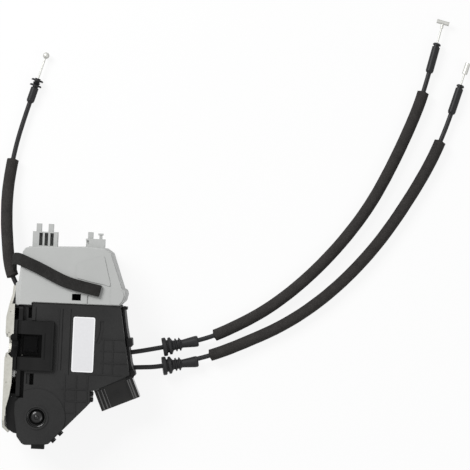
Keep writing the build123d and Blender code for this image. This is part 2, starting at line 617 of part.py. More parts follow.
def connector_shell():
    z0, z1 = CONNECTOR_Z0, CONNECTOR_Z1
    body = block(0, CONNECTOR_LONG, -CONNECTOR_DEEP, 0, z0, z1)
    body -= block(CONNECTOR_WALL, CONNECTOR_LONG - CONNECTOR_WALL, -CONNECTOR_DEEP - 1, -3.0,
                  z0 + CONNECTOR_WALL, z1 - CONNECTOR_WALL)
    for x0, x1 in ((3.4, 4.6), (6.4, 7.8), (25.6, 27.0)):
        body -= block(x0, x1, -CONNECTOR_DEEP - 1, -1.2, z1 - 0.8, z1 + 1)
    for x0, x1 in ((1.8, 3.2), (4.8, 6.2), (27.4, 30.6)):
        body += block(x0, x1, -CONNECTOR_DEEP, -0.6, z1 - 0.1, z1 + 0.9)
    body += block(14.6, 18.6, -9.8, -6.2, z1 - 0.1, z1 + 0.5)
    body += block(15.4, 17.8, -9.2, -8.0, z1 + 0.4, z1 + 1.5)
    return connector_frame(body) + connector_neck()


def connector_neck():
    return connector_frame(block(4.0, CONNECTOR_LONG - 4.0, -0.01, 3.6, CONNECTOR_Z0 + 2, CONNECTOR_Z1 - 2))


def connector_pins():
    pins = []
    for column in range(6):
        x = CONNECTOR_LONG / 2 + (column - 2.5) * 4.2
        for z in (CONNECTOR_Z0 + 5.4, CONNECTOR_Z1 - 5.4):
            pins.append(connector_frame(block(x - 0.5, x + 0.5, -11.5, -3.0, z - 0.4, z + 0.4)))
    return Compound(children=pins)


# The two shells and the covers
def plan_face(points, radius=0.0):
    face = make_face(Polyline(*points, close=True))
    return fillet(face.vertices(), radius) if radius else face


def cable_passages(radius):
    """Round ways through the walls where the cables' ends pass."""
    ways = None
    for points in (CABLE_A, CABLE_B, CABLE_C):
        start, ahead = cable_line(points[0], points[1])
        way = rod_between(start - ahead * 12, start + ahead * 22, radius)
        ways = way if ways is None else ways + way
    return ways


def rounded_plan(points, corners):
    """A plan outline with its own radius on each named corner."""
    face = plan_face(points)
    for radius, places in corners:
        chosen = [v for v in face.vertices() if any(abs(v.X - x) + abs(v.Y - y) < 0.01 for x, y in places)]
        face = fillet(chosen, radius)
    return face


COVER_CORNERS = [(5.0, [COVER_OUTLINE[11], COVER_OUTLINE[13]]), (1.5, [COVER_OUTLINE[9], COVER_OUTLINE[14]])]
FOOT_X0 = 6.6
FOOT_TOP_Z = 10.0


def module_housing():
    black = rounded_plan(COVER_OUTLINE, COVER_CORNERS)
    grey = offset(plan_face(WEATHER_OUTLINE), -(WALL + PLAY), kind=Kind.INTERSECTION)
    bridge = Pos(55, 34.5) * Rectangle(64, 8)
    low = Plane.XY.offset(BACK_Z)
    body = extrude(low * black, SPLIT_Z - BACK_Z) + extrude(low * (grey + bridge), 7.0)
    inside = offset(black, -WALL, kind=Kind.INTERSECTION)
    inside += offset(grey, -WALL, kind=Kind.INTERSECTION) + Pos(55, 34.5) * Rectangle(61.6, 12)
    body -= extrude(Plane.XY.offset(BACK_Z + FLOOR) * inside, 40)
    floor_z = BACK_Z + FLOOR - 0.01
    for pivot, top in ((INSIDE_PIVOT, CABLE_Z - 0.8), (OUTSIDE_PIVOT, OUTSIDE_PLATE_Z - 3.3),
                       (Vector(WHEEL_X, WHEEL_Y), WHEEL_Z0 - 0.3)):
        body += rod_z(POST_R, floor_z, top, pivot.X, pivot.Y)
        body -= rod_z(AXLE_R, floor_z, top + 1, pivot.X, pivot.Y)
    start, ahead = cable_line(CABLE_C[0], CABLE_C[1])
    swung = start + ahead * (SEAT - INNER_FERRULE - 2.6)
    sweep_room = SlotCenterPoint((swung + OUTSIDE_PIVOT) * 0.5, swung, 2 * (LEVER_PAD_R + PLAY))
    body -= extrude(Plane.XY.offset(OUTSIDE_PLATE_Z - PLAY) * sweep_room, SPLIT_Z + 1 - OUTSIDE_PLATE_Z)
    body += block(BEARING_X - 0.6, BEARING_X + 2.2, WORM_Y - 3.5, WORM_Y + 3.5, floor_z, WORM_Z + 3.5)
    body -= rod_x(MOTOR_SHAFT_R + RUN_FIT, BEARING_X, BEARING_X + 3, WORM_Y, WORM_Z)
    motor_low = WORM_Z - MOTOR_WIDE / 2
    for x in (MOTOR_X0 + 12, MOTOR_X1 - 3):
        body += block(x, x + 2, WORM_Y - 5, WORM_Y + 5, floor_z, motor_low)
    body += block(84, 90, -20.5, 0.5, floor_z, CABLE_Z)
    body -= cable_passages(INNER_FERRULE_R)
    body -= stud_window(12, 16)
    body -= connector_neck()
    body -= latch_room(0.0)
    for x, y in CASE_SCREWS:
        body += rod_z(BOSS_POST_R, floor_z, CASE_BOSS_TOP, x, y)
        body -= rod_z(SCREW_HEAD_R + PLAY, BACK_Z - 1, BACK_Z + SCREW_HEAD_DEEP, x, y)
        body -= rod_z(CASE_SCREW_R, BACK_Z - 1, CASE_SCREW_TOP, x, y)
    foot = slab([(FOOT_X0, -42), (FOOT_X0, -66.5), (11, -70), (14, -70), (14, -42)], BACK_Z, SPLIT_Z)
    foot -= extrude(Plane.XY.offset(BACK_Z - 1) * black, 60)
    for y, z in SCREW_PLACES:
        foot -= rod_x(COLLAR_R + PLAY, 0, 20, y, z)
    return body + foot


CASE_SCREWS = [(86.0, 28.5), (61.5, -38.0), (20.0, -71.0), (44.0, 27.5)]
BOSS_POST_R = 3.4
CASE_BOSS_TOP = -15.0
SCREW_HEAD_R = 2.7
SCREW_HEAD_DEEP = 1.2
CASE_SCREW_R = 1.3
CASE_SCREW_TOP = -17.0


def case_screws():
    """Four pan-head screws set into the back."""
    screws = []
    for x, y in CASE_SCREWS:
        screw = rod_z(SCREW_HEAD_R, BACK_Z + 0.1, BACK_Z + SCREW_HEAD_DEEP, x, y)
        screw += rod_z(CASE_SCREW_R, BACK_Z + 0.5, CASE_SCREW_TOP, x, y)
        screws.append(screw - Pos(x, y, BACK_Z + 0.1) * extrude(RegularPolygon(1.3, 6), 0.8))
    return Compound(children=screws)


# The cover's moulded forms, all measured in plan
PAD_R = 23.0
PAD_STEP = 0.8
RIM_R = 9.7
RIB_WIDE = 0.7
RIB_HIGH = 0.45
UPRIGHT_RIBS = [(77.8, 8.2, -20.0), (85.7, 8.0, -20.5), (48.5, -21.0, -65.0), (57.5, -21.5, -55.8),
                (66.5, -21.5, -47.2)]
LEVEL_RIBS = [(75.5, 94.0, 8.6), (76.0, 95.5, -0.9), (76.5, 97.0, -10.5), (64.0, 93.5, -19.9),
              (46.0, 67.0, -32.6), (48.5, 67.0, -42.2), (48.5, 63.5, -51.6)]
LONG_STEPS = [(41.4, -18.0, 31.0), (44.6, -18.0, 31.0), (51.4, -22.0, 31.0)]


def cover_face_forms():
    """What stands proud of the cover's front: the pad round the boss, ribs and the upright ridge."""
    front = COVER_FRONT - 0.05
    pad = extrude(Plane.XY.offset(front) * (Pos(BOSS_X, BOSS_Y) * Circle(PAD_R)), PAD_STEP + 0.05)
    forms = pad
    for x, high_y, low_y in UPRIGHT_RIBS:
        forms += block(x, x + RIB_WIDE, low_y, high_y, front, COVER_FRONT + RIB_HIGH)
    for x0, x1, y in LEVEL_RIBS:
        forms += block(x0, x1, y - RIB_WIDE, y, front, COVER_FRONT + RIB_HIGH)
    forms += block(20.2, 23.0, BEZEL_Y1 + 0.6, 32.0, front, COVER_FRONT + 1.0)
    inset = extrude(Plane.XY.offset(front - 1) * offset(rounded_plan(COVER_OUTLINE, COVER_CORNERS), -0.6), 4)
    return (forms & inset) + slab([(41.4, 31.0), (41.4, -18.0), (42.3, -18.0), (42.3, 31.0)], front,
                                  COVER_FRONT + RIB_HIGH)


def cover_face_cuts():
    """What is sunk in the cover's front: grooves, the crescent slot and the small window."""
    cuts = block(44.6, 45.4, -18.0, 31.0, COVER_FRONT - 0.6, 30)
    cuts += block(51.0, 51.8, -21.5, 31.0, COVER_FRONT - 0.6, 30)
    arc = ThreePointArc((76.3, 22.4), (76.1, 13.6), (73.6, 4.6))
    crescent = sweep(Plane(origin=arc @ 0, z_dir=arc % 0) * Rectangle(3.0, 1.3), path=arc)
    cuts += Pos(0, 0, COVER_FRONT) * crescent
    cuts += block(20.2, 23.6, -30.8, -21.7, COVER_FRONT - 8, 30)
    cuts += block(17.5, 19.8, -30.0, -21.7, COVER_FRONT - 1.2, 30)
    cuts += block(12.0, 16.0, -41.5, -20.0, COVER_FRONT - 5.0, 30)
    cuts += block(12.0, 20.2, BEZEL_Y1 + 0.2, 33.5, CORNER_Z, 30)
    cuts += block(17.0, 20.2, 22.5, 31.0, CORNER_Z - 6, 30)
    return cuts


def module_cover():
    black = rounded_plan(COVER_OUTLINE, COVER_CORNERS)
    top = Plane.XY.offset(SPLIT_Z)
    body = extrude(top * black, COVER_FRONT - SPLIT_Z)
    body -= extrude(top * offset(black, -WALL, kind=Kind.INTERSECTION), COVER_FRONT - WALL - SPLIT_Z)
    body += block(CASE_X + PLAY, 21.8, BEZEL_Y1 - 1.5, 32.0, CORNER_Z - WALL, COVER_FRONT - 0.5)
    body += block(16.0, 22.0, 21.5, 32.0, CORNER_Z - 6 - WALL, COVER_FRONT - 0.5)
    body += block(10.5, 25.0, -41.6, -19.5, COVER_FRONT - 8 - WALL, COVER_FRONT - 0.5) & extrude(
        top * black, 40)
    body += cover_face_forms()
    body -= cover_face_cuts()
    body += block(23.3, 33.7, -82.7, -78.0, 6.0, 12.0)
    for x0, x1, y0, y1 in ((68.8, 71.2, -38.0, -35.4), (68.8, 71.2, -42.8, -40.2)):
        body += block(x0, x1, y0, y1, 4.0, COVER_FRONT - 4)
    for along in (30.5, 38.5):
        body += Pos(66.7, -46.6, 10) * Rot(0, 0, 46.9 - 180) * Pos(along, 0.4, 0) * Box(3.0, 3.4, 12)
    body -= latch_room(0.2)
    body += rod_z(RIM_R, 4.0, COVER_FRONT + PAD_STEP + 0.6, BOSS_X, BOSS_Y)
    body -= rod_z(RIM_R - 1.6, COVER_FRONT - 0.6, 30, BOSS_X, BOSS_Y)
    body -= rod_z(BOSS_HOLE_R, -10, 30, BOSS_X, BOSS_Y)
    body -= stud_window(12, 16)
    body -= connector_neck()
    body -= cable_passages(INNER_FERRULE_R + PLAY)
    body -= tray_walls_room()
    return body


def tray_walls_room():
    return block(CASE_X, POCKET_X1 + POCKET_WALL + 0.2, POCKET_Y0 - POCKET_WALL - 0.2,
                 POCKET_Y1 + POCKET_WALL + 0.2, POCKET_FLOOR_Z - POCKET_WALL - 0.2, BEZEL_FRONT)


def boss_plug():
    plug = rod_z(BOSS_HOLE_R - 0.01, 8.0, 16.0, BOSS_X, BOSS_Y)
    plug += Pos(BOSS_X, BOSS_Y, 16.0) * scale(Sphere(BOSS_HOLE_R - 0.9), by=(1, 1, 0.5))
    plug += Pos(BOSS_X, BOSS_Y, 18.6) * scale(Sphere(2.0), by=(1, 1, 0.6))
    return plug - rod_z(BOSS_HOLE_R - 1.6, 7.0, 13.0, BOSS_X, BOSS_Y)


PANEL = [(54.2, 56.6), (54.2, 67.6), (75.7, 75.1), (82.3, 50.2), (76.5, 52.0), (66.0, 53.8)]
LEFT_BEVEL = 4.5
BROW = 1.0


def weather_cover():
    grey = plan_face(WEATHER_OUTLINE, 0.8)
    low = Plane.XY.offset(BACK_Z)
    body = extrude(low * grey, WEATHER_FRONT - BROW - BACK_Z)
    body += extrude(Plane.XY.offset(WEATHER_FRONT - BROW) * grey, BROW, taper=30)
    body += slab(PANEL, WEATHER_FRONT - 0.1, WEATHER_FRONT + 0.7, 1.2)
    body += slab([(82.3, 36.2), (82.3, 49.0), (90.5, 48.6), (92.4, 45.5), (93.0, 43.0), (91.6, 39.2),
                  (89.2, 36.2)], WEATHER_FRONT - 0.1, WEATHER_FRONT + 0.7, 0.9)
    body -= block(63.6, 64.6, 30.0, 43.0, WEATHER_FRONT - 0.8, WEATHER_FRONT + 1)
    body -= across([(30, WEATHER_FRONT + 0.01), (50, WEATHER_FRONT + 0.01), (50, WEATHER_FRONT + 3),
                    (30, WEATHER_FRONT + 3)], -5, 0)
    bevel = extrude(Plane.XZ.offset(-90) * make_face(Polyline(
        (2.0, WEATHER_FRONT + 1), (6.0 + LEFT_BEVEL + 0.7, WEATHER_FRONT + 1),
        (6.0 + LEFT_BEVEL, WEATHER_FRONT), (6.0 - 0.4, WEATHER_FRONT - 3.2),
        (2.0, WEATHER_FRONT - 3.2), close=True)), 70)
    body -= bevel
    body -= extrude(low * offset(grey, -WALL, kind=Kind.INTERSECTION), WEATHER_FRONT - WALL - 1.4 - BACK_Z)
    body -= block(10.5, 87.8, 30.0, 40.0, BACK_Z - 1, SPLIT_Z)
    body -= block(51.4, 58.6, 38.2, 43.5, WEATHER_FRONT - 5, WEATHER_FRONT + 1)
    body += clip_tower(17.3, 37.2, 79.3, 92.1, (23.9, 28.25, 32.7), (19.9, 29.5), 98.5)
    body += clip_tower(60.0, 75.3, 80.4, 88.0, (), (61.5,), 93.4)
    body += block(70.6, 72.8, 87.5, 91.4, 7.0, 11.0) + block(69.6, 73.6, 91.0, 92.6, 6.5, 11.5)
    body -= block(59.0, 62.4, 82.0, 86.6, 9.0, 15)
    body += block(15.0, 18.5, 76.5, 79.8, 6.0, WEATHER_FRONT - 3)
    body -= cable_passages(INNER_FERRULE_R + PLAY)
    return body


def clip_tower(x0, x1, y0, y1, slots, prongs, top_y):
    z0, z1 = 4.0, 14.0
    tower = block(x0, x1, y0, y1, z0, z1)
    for x in slots:
        tower -= block(x - 1.4, x + 1.4, y0 + 1.6, y1 - 1.0, z0 + 1.2, z1 + 1)
    for x in prongs:
        tower += block(x, x + 4.0, y1 - 0.1, top_y, z0 + 2, z1 - 2)
    return tower


def cable_cover():
    plan = [(91.2, 34.1), (93.0, 34.1), (95.6, 17.5), (97.4, 9.0), (98.2, 2.0), (100.6, -11.6),
            (103.6, -19.3), (102.2, -21.6), (100.2, -19.9), (99.95, -18.2)]
    body = slab(plan, BACK_Z + 2, 8.0)
    body += slab([(92.0, 34.4), (95.4, 34.4), (95.4, 32.2), (92.6, 32.2)], -6.0, 10.0)
    body += slab([(96.0, 9.4), (100.6, 9.4), (101.2, 3.6), (100.4, 2.6), (97.0, 2.6)], -8.0, 11.0, 0.6)
    body += slab([(99.6, -16.4), (103.6, -16.4), (104.6, -20.4), (100.8, -20.8)], -10.0, 10.0, 0.5)
    body -= extrude(Plane.XY.offset(BACK_Z) * plan_face(COVER_OUTLINE), 60)
    return body - cable_passages(SHEATH_R + PLAY)


def label():
    return slab([(53.4, -18.9), (70.8, -18.9), (70.8, 25.2), (53.4, 25.2)], COVER_FRONT,
                COVER_FRONT + 0.2, 1.5)


def foam_strip():
    """A foam strip stuck over the weather cover, its left end folded down beside the cable."""
    middle = [(8.8, 69.7), (15.0, 67.1), (27.2, 61.6), (41.2, 54.6), (50.0, 51.4), (62.3, 48.8),
              (74.1, 46.5)]
    line = Spline(*middle)
    half = 4.7
    upper, lower = [], []
    for step in range(13):
        spot, way = line @ (step / 12), line % (step / 12)
        upper.append((spot.X - way.Y * half, spot.Y + way.X * half))
        lower.append((spot.X + way.Y * half, spot.Y - way.X * half))
    outline = make_face([Spline(*upper), Line(upper[-1], lower[-1]), Spline(*lower[::-1]),
                         Line(lower[0], upper[0])])
    strip = extrude(Plane.XY.offset(WEATHER_FRONT) * outline, 3.0)
    fold = slab([(3.6, 72.3), (6.8, 74.7), (9.9, 74.0), (8.9, 64.8), (7.9, 57.5), (6.5, 57.5),
                 (3.4, 66.0)], 2.0, WEATHER_FRONT + 3.0)
    return strip + (fold - weather_room())


def weather_room():
    grey = plan_face(WEATHER_OUTLINE, 0.8)
    return extrude(Plane.XY.offset(BACK_Z) * grey, WEATHER_FRONT - BACK_Z)


def switch(x0, x1, y0, y1, z0, z1, button):
    return block(x0, x1, y0, y1, z0, z1) + rod_z(1.2, z1 - 0.1, z1 + 1.2, *button)


def hairpin_spring(y, z, radius, x, first_turn, legs):
    """A torsion spring of most of a turn round a pin, with two straight legs."""
    wire = Plane.YZ.offset(x) * Pos(y, z) * Rot(0, 0, first_turn)
    ends = (Line((radius, -legs[0]), (radius, 0)), CenterArc((0, 0), radius, 0, 270),
            Line((0, -radius), (legs[1], -radius)))
    path = Wire([edge for line in ends for edge in (wire * line).edges()])
    return sweep(Plane(origin=path @ 0, z_dir=path % 0) * Circle(0.55), path=path)


# Name, route, lever plate under the wire, ferrule length and discs, nipple reach and kind, sleeve's ends
MUSHROOM = (19.0, 3.2, 1.8)
CABLES = [
    ("inside", CABLE_A, False, 21.0, [MUSHROOM], 38.5, "tee", 79.0, 20.1),
    ("lock", CABLE_B, True, 21.0, [MUSHROOM], 33.3, "barrel", 72.5, 27.7),
    ("outside", CABLE_C, True, 16.6, [(9.8, 4.9, 1.5), (14.2, 4.9, 1.5)], 36.5, "ball", 16.0, 52.0),
]


def main():
    write("base_plate", base_plate())
    write("back_plate", back_plate())
    write("latch_case", latch_case())
    write("striker_tray", striker_tray())
    write("bump_stop", bump_stop())
    core, jacket = fork_parts()
    write("fork_bolt", core)
    write("fork_jacket", jacket)
    write("pawl", pawl())
    write("fork_pin", pivot_pin(FORK_Y, FORK_Z))
    write("pawl_pin", pivot_pin(PAWL_Y, PAWL_Z))
    write("fork_spring", hairpin_spring(FORK_Y, FORK_Z, 4.6, SHEET + 0.75, 60, (9, 7)))
    write("pawl_spring", hairpin_spring(PAWL_Y, PAWL_Z, 4.6, SHEET + 0.75, 150, (6, 7)))
    write("module_housing", module_housing())
    write("module_cover", module_cover())
    write("weather_cover", weather_cover())
    write("cable_cover", cable_cover())
    write("label", label())
    write("boss_plug", boss_plug())
    write("case_screws", case_screws())
    write("connector_shell", connector_shell())
    write("connector_pins", connector_pins())
    write("foam_strip", foam_strip())
    write("motor_can", motor_can())
    write("motor_end_cap", motor_end_cap())
    write("motor_shaft", motor_shaft())
    write("motor_armature", motor_armature())
    write("worm", worm())
    write("worm_wheel", worm_wheel())
    write("wheel_axle", axle(Vector(WHEEL_X, WHEEL_Y), BACK_Z + FLOOR, WHEEL_Z1 + 1.5))
    write("inside_lever", inside_lever())
    write("lock_lever", lock_lever())
    write("outside_lever", outside_lever())
    write("release_link", release_link())
    write("inside_lever_pin", axle(INSIDE_PIVOT, BACK_Z + FLOOR, HIGH_PLATE_Z + LEVER_PLATE))
    write("lock_lever_pin", axle(LOCK_PIVOT, BACK_Z + FLOOR, LOW_PLATE_Z + LEVER_PLATE))
    write("outside_lever_pin", axle(OUTSIDE_PIVOT, BACK_Z + FLOOR, OUTSIDE_PLATE_Z + LEVER_PLATE))
    write("ajar_switch", switch(15.4, 22.4, 14.5, 27.0, BACK_Z + FLOOR, -14.0, (19.0, 20.0)))
    write("lock_switch", switch(47.0, 59.0, -31.5, -25.0, BACK_Z + FLOOR, -12.0, (50.0, -28.0)))
    for name, points, low, length, discs, reach, kind, sleeve_from, sleeve_gap in CABLES:
        path = route(points)
        write(f"{name}_sheath", tube_on(path, SHEATH_R))
        write(f"{name}_sleeve", sleeve_on(path, sleeve_from, path.length - sleeve_gap))
        write(f"{name}_inner_ferrule", inner_ferrule(points))
        write(f"{name}_wire_tail", wire_tail(points, low))
        write(f"{name}_ferrule", outer_ferrule(points, length, discs))
        write(f"{name}_wire_end", wire_end(points, length, reach, kind))
        if kind != "ball":
            write(f"{name}_grommet", grommet(path, 33.5))


main()
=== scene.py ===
import math

import bmesh
import bpy
from mathutils import Matrix, Vector


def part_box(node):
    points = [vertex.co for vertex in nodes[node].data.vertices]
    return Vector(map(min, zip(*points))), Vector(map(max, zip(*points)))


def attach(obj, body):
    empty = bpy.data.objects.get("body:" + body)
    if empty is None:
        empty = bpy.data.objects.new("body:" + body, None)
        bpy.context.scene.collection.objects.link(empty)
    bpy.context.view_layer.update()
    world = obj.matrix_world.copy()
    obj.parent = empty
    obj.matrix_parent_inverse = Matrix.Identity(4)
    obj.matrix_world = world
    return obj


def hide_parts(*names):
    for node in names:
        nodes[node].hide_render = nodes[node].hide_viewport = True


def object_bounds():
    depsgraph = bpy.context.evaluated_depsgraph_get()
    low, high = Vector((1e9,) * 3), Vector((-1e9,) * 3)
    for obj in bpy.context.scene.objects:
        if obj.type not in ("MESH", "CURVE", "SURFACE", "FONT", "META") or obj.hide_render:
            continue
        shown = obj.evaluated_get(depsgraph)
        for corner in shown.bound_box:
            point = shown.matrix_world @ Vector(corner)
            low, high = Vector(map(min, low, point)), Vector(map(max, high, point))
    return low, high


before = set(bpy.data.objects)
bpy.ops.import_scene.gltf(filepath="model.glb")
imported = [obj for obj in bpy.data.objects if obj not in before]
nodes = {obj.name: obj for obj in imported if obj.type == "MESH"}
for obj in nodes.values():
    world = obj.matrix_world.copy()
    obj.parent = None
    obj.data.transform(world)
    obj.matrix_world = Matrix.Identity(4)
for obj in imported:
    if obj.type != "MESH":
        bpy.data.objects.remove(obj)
cad_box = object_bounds()

# The camera looks straight down on the cabin face from 1.8 m above it. It is turned a little,
# so that the latch stands 2.6 degrees clockwise in the picture.
CABIN_FACE_Z = 0.020
CAMERA_ABOVE = 1.8
CAMERA_SEES = (0.05, 20.0)
PICTURE_WIDE = 0.376
CAMERA_AIM = (0.1794, 0.0963)
PART_TILT = math.radians(2.6)


def shown(name, data):
    """A new object of the scene, at the origin."""
    thing = bpy.data.objects.new(name, data)
    bpy.context.scene.collection.objects.link(thing)
    return thing


camera_data = bpy.data.cameras.new("photo_camera")
camera_data.lens = camera_data.sensor_width * CAMERA_ABOVE / PICTURE_WIDE
camera_data.clip_start, camera_data.clip_end = CAMERA_SEES
camera = shown("photo_camera", camera_data)
camera.location = (*CAMERA_AIM, CABIN_FACE_Z + CAMERA_ABOVE)
camera.rotation_euler = (0.0, 0.0, PART_TILT)
bpy.context.scene.camera = camera
bpy.context.scene.view_settings.view_transform = "Standard"

# The three Bowden cables: an extruded black plastic sheath over a steel wire. Each leaves the
# housing straight and then lies on the table in one easy bend, as stiff cables do.
SHEATH_R = 0.0019
SHEATH_BORE = 0.0011
SHEATH_SIDES = 28
ROUTE_STEPS = 16
SHEATH_DARK, SHEATH_WORN = (0.006, 0.006, 0.007), (0.020, 0.020, 0.021)
INSIDE_LINE = [
    (0.092, -0.004, -0.014), (0.1015, -0.0028, -0.014), (0.120, 0.001, -0.0179),
    (0.158, 0.0096, -0.0185), (0.1826, 0.0211, -0.0208), (0.2092, 0.0369, -0.0211),
    (0.2368, 0.060, -0.0211), (0.2642, 0.0899, -0.0211), (0.2879, 0.1234, -0.0211),
    (0.3064, 0.1609, -0.0211), (0.323, 0.2024, -0.0211), (0.329, 0.2232, -0.0211),
    (0.3329, 0.2401, -0.0211),
]
LOCK_LINE = [
    (0.092, -0.016, -0.014), (0.104, -0.0151, -0.014), (0.1235, -0.0141, -0.0179),
    (0.1635, -0.0036, -0.0186), (0.191, 0.0084, -0.021), (0.2215, 0.0236, -0.0211),
    (0.2485, 0.0428, -0.0211), (0.2738, 0.0666, -0.0211), (0.2972, 0.095, -0.0211),
    (0.3172, 0.1262, -0.0211), (0.3356, 0.160, -0.0211), (0.3476, 0.1899, -0.0211),
    (0.3526, 0.2072, -0.0211),
]
OUTSIDE_LINE = [
    (0.012, 0.0374, 0.0), (0.003, 0.050, 0.0), (-0.0022, 0.064, -0.003),
    (-0.005, 0.082, -0.008), (-0.0074, 0.103, -0.014), (-0.008, 0.1254, -0.0195),
    (-0.0048, 0.1516, -0.0212), (0.0004, 0.176, -0.0214), (0.0079, 0.201, -0.0214),
]


class Signal:
    """What one node gives. Python sums and products on a number that varies add Math nodes."""

    def __init__(self, owner, socket):
        self.owner = owner
        self.socket = socket

    def maths(self, operation, left, right=0.0, clamp=False):
        settings = {"operation": operation, "use_clamp": clamp}
        return self.owner.node("ShaderNodeMath", settings, {0: left, 1: right})

    def __add__(self, other):
        return self.maths("ADD", self, other)

    __radd__ = __add__

    def __sub__(self, other):
        return self.maths("SUBTRACT", self, other)

    def __rsub__(self, other):
        return self.maths("SUBTRACT", other, self)

    def __mul__(self, other):
        return self.maths("MULTIPLY", self, other)

    __rmul__ = __mul__

    def __gt__(self, other):
        return self.maths("GREATER_THAN", self, other)

    def __abs__(self):
        return self.maths("ABSOLUTE", self)

    def larger(self, other):
        return self.maths("MAXIMUM", self, other)

    def smaller(self, other):
        return self.maths("MINIMUM", self, other)

    def held(self):
        """The same number kept between 0 and 1."""
        return self.maths("ADD", self, 0.0, clamp=True)


class Nodes:
    """A tree of nodes in the making, with one method for all of its nodes."""

    def __init__(self, tree):
        self.tree = tree

    def node(self, kind, settings=None, inputs=None, output=0):
        made = self.tree.nodes.new(kind)
        for name, value in (settings or {}).items():
            setattr(made, name, value)
        for name, value in (inputs or {}).items():
            if isinstance(name, str):
                name = [way.enabled and way.name for way in made.inputs].index(name)
            self.feed(made.inputs[name], value)
        return Signal(self, made.outputs[output])

    def feed(self, socket, value):
        if isinstance(value, Signal):
            self.tree.links.new(value.socket, socket)
        else:
            socket.default_value = value


class Finish(Nodes):
    """A material in the making. What varies over it reads its piece's own place."""

    def __init__(self, name, **plain):
        self.material = bpy.data.materials.new(name)
        self.material.use_nodes = True
        super().__init__(self.material.node_tree)
        self.shader = self.tree.nodes["Principled BSDF"]
        for socket, value in plain.items():
            self.shader.inputs[socket.replace("_", " ")].default_value = value

    def place(self):
        return self.node("ShaderNodeTexCoord", output="Object")

    def along(self, axis):
        """One coordinate of the place, in metres."""
        return self.node("ShaderNodeSeparateXYZ", {}, {"Vector": self.place()}, output=axis)

    def grain(self, scale, detail=2.0, rough=0.5, stretch=None):
        """Noise from 0 to 1 with so many cells to the metre, drawn out where stretch says so."""
        at = self.place()
        if stretch:
            at = self.node("ShaderNodeVectorMath", {"operation": "MULTIPLY"}, {0: at, 1: stretch})
        inputs = {"Vector": at, "Scale": scale, "Detail": detail, "Roughness": rough}
        return self.node("ShaderNodeTexNoise", {}, inputs)

    def cells(self, scale):
        """Distance to the nearest of scattered points, so many cells to the metre."""
        return self.node("ShaderNodeTexVoronoi", {}, {"Vector": self.place(), "Scale": scale})

    def between(self, factor, low, high):
        """A colour mixed from two by a signal."""
        settings = {"data_type": "RGBA", "blend_type": "MIX"}
        inputs = {0: factor}
        for socket, colour in ((6, low), (7, high)):
            inputs[socket] = colour if isinstance(colour, Signal) else (*colour, 1.0)
        return self.node("ShaderNodeMix", settings, inputs, output=2)

    def colour(self, factor, low, high):
        self.feed(self.shader.inputs["Base Color"], self.between(factor, low, high))

    def roughness(self, value):
        self.feed(self.shader.inputs["Roughness"], value)

    def bumps(self, height, strength, depth):
        """Relief that follows a signal, its depth in metres."""
        inputs = {"Height": height, "Strength": strength, "Distance": depth}
        self.feed(self.shader.inputs["Normal"], self.node("ShaderNodeBump", {}, inputs))


sheath_finish = Finish("extruded_sheath", Specular_IOR_Level=0.22)
drawn = sheath_finish.grain(700.0, 3.0)
scuffs = sheath_finish.grain(60.0, 4.0, 0.7)
worn = (drawn * 0.6 + scuffs * 0.5 - 0.05).held()
sheath_finish.colour(worn, SHEATH_DARK, SHEATH_WORN)
sheath_finish.roughness(scuffs * 0.3 + 0.26)
sheath_finish.bumps(drawn, 0.25, 0.0002)


def route(name, line):
    """The smooth line that a cable's middle follows, as a curve with no thickness."""
    data = bpy.data.curves.new(name, "CURVE")
    data.dimensions = "3D"
    data.resolution_u = ROUTE_STEPS
    spline = data.splines.new("NURBS")
    spline.points.add(len(line) - 1)
    for point, place in zip(spline.points, line):
        point.co = (*place, 1.0)
    spline.order_u = 3
    spline.use_endpoint_u = True
    return shown(name, data)


def plain_mesh(thing):
    """The mesh that an object comes out as, with its modifiers and curves worked out."""
    bpy.context.view_layer.update()
    seen = thing.evaluated_get(bpy.context.evaluated_depsgraph_get())
    return bpy.data.meshes.new_from_object(seen)


def line_of(curve):
    """The points along a route, read from its curve."""
    mesh = plain_mesh(curve)
    points = [vertex.co.copy() for vertex in mesh.vertices]
    bpy.data.meshes.remove(mesh)
    return points


def fitted(name, mesh):
    """A plain mesh as a piece of the latch body."""
    piece = shown(name, mesh)
    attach(piece, "latch_body")
    return piece


def settled(name, shape, finish):
    """A shape in the making as a piece of the latch body."""
    mesh = bpy.data.meshes.new(name)
    shape.to_mesh(mesh)
    shape.free()
    mesh.materials.append(finish.material)
    return fitted(name, mesh)


def wall(shape, first, second):
    """The faces between two rings of points."""
    faces = []
    for step in range(len(first)):
        ahead = (step + 1) % len(first)
        faces.append(shape.faces.new((first[step], first[ahead], second[ahead], second[step])))
    return faces


def sheath_tube(name, points):
    """A sheath along its route, bored through for the wire, with flat cut ends."""
    shape = bmesh.new()
    befores = points[:1] + points[:-1]
    afters = points[1:] + points[-1:]
    turns = [step * math.tau / SHEATH_SIDES for step in range(SHEATH_SIDES)]
    aside = (afters[0] - befores[0]).orthogonal()
    rings = []
    for point, before, after in zip(points, befores, afters):
        way = (after - before).normalized()
        aside = (aside - way * aside.dot(way)).normalized()
        upward = way.cross(aside)
        arms = [aside * math.cos(turn) + upward * math.sin(turn) for turn in turns]
        outer = [shape.verts.new(point + arm * SHEATH_R) for arm in arms]
        inner = [shape.verts.new(point + arm * SHEATH_BORE) for arm in arms]
        rings.append((outer, inner))
    for (outer, inner), (next_outer, next_inner) in zip(rings, rings[1:]):
        for face in wall(shape, outer, next_outer) + wall(shape, inner, next_inner):
            face.smooth = True
    for outer, inner in (rings[0], rings[-1]):
        for face in wall(shape, outer, inner):
            for edge in face.edges:
                edge.smooth = False
    bmesh.ops.recalc_face_normals(shape, faces=shape.faces)
    return settled(name, shape, sheath_finish)


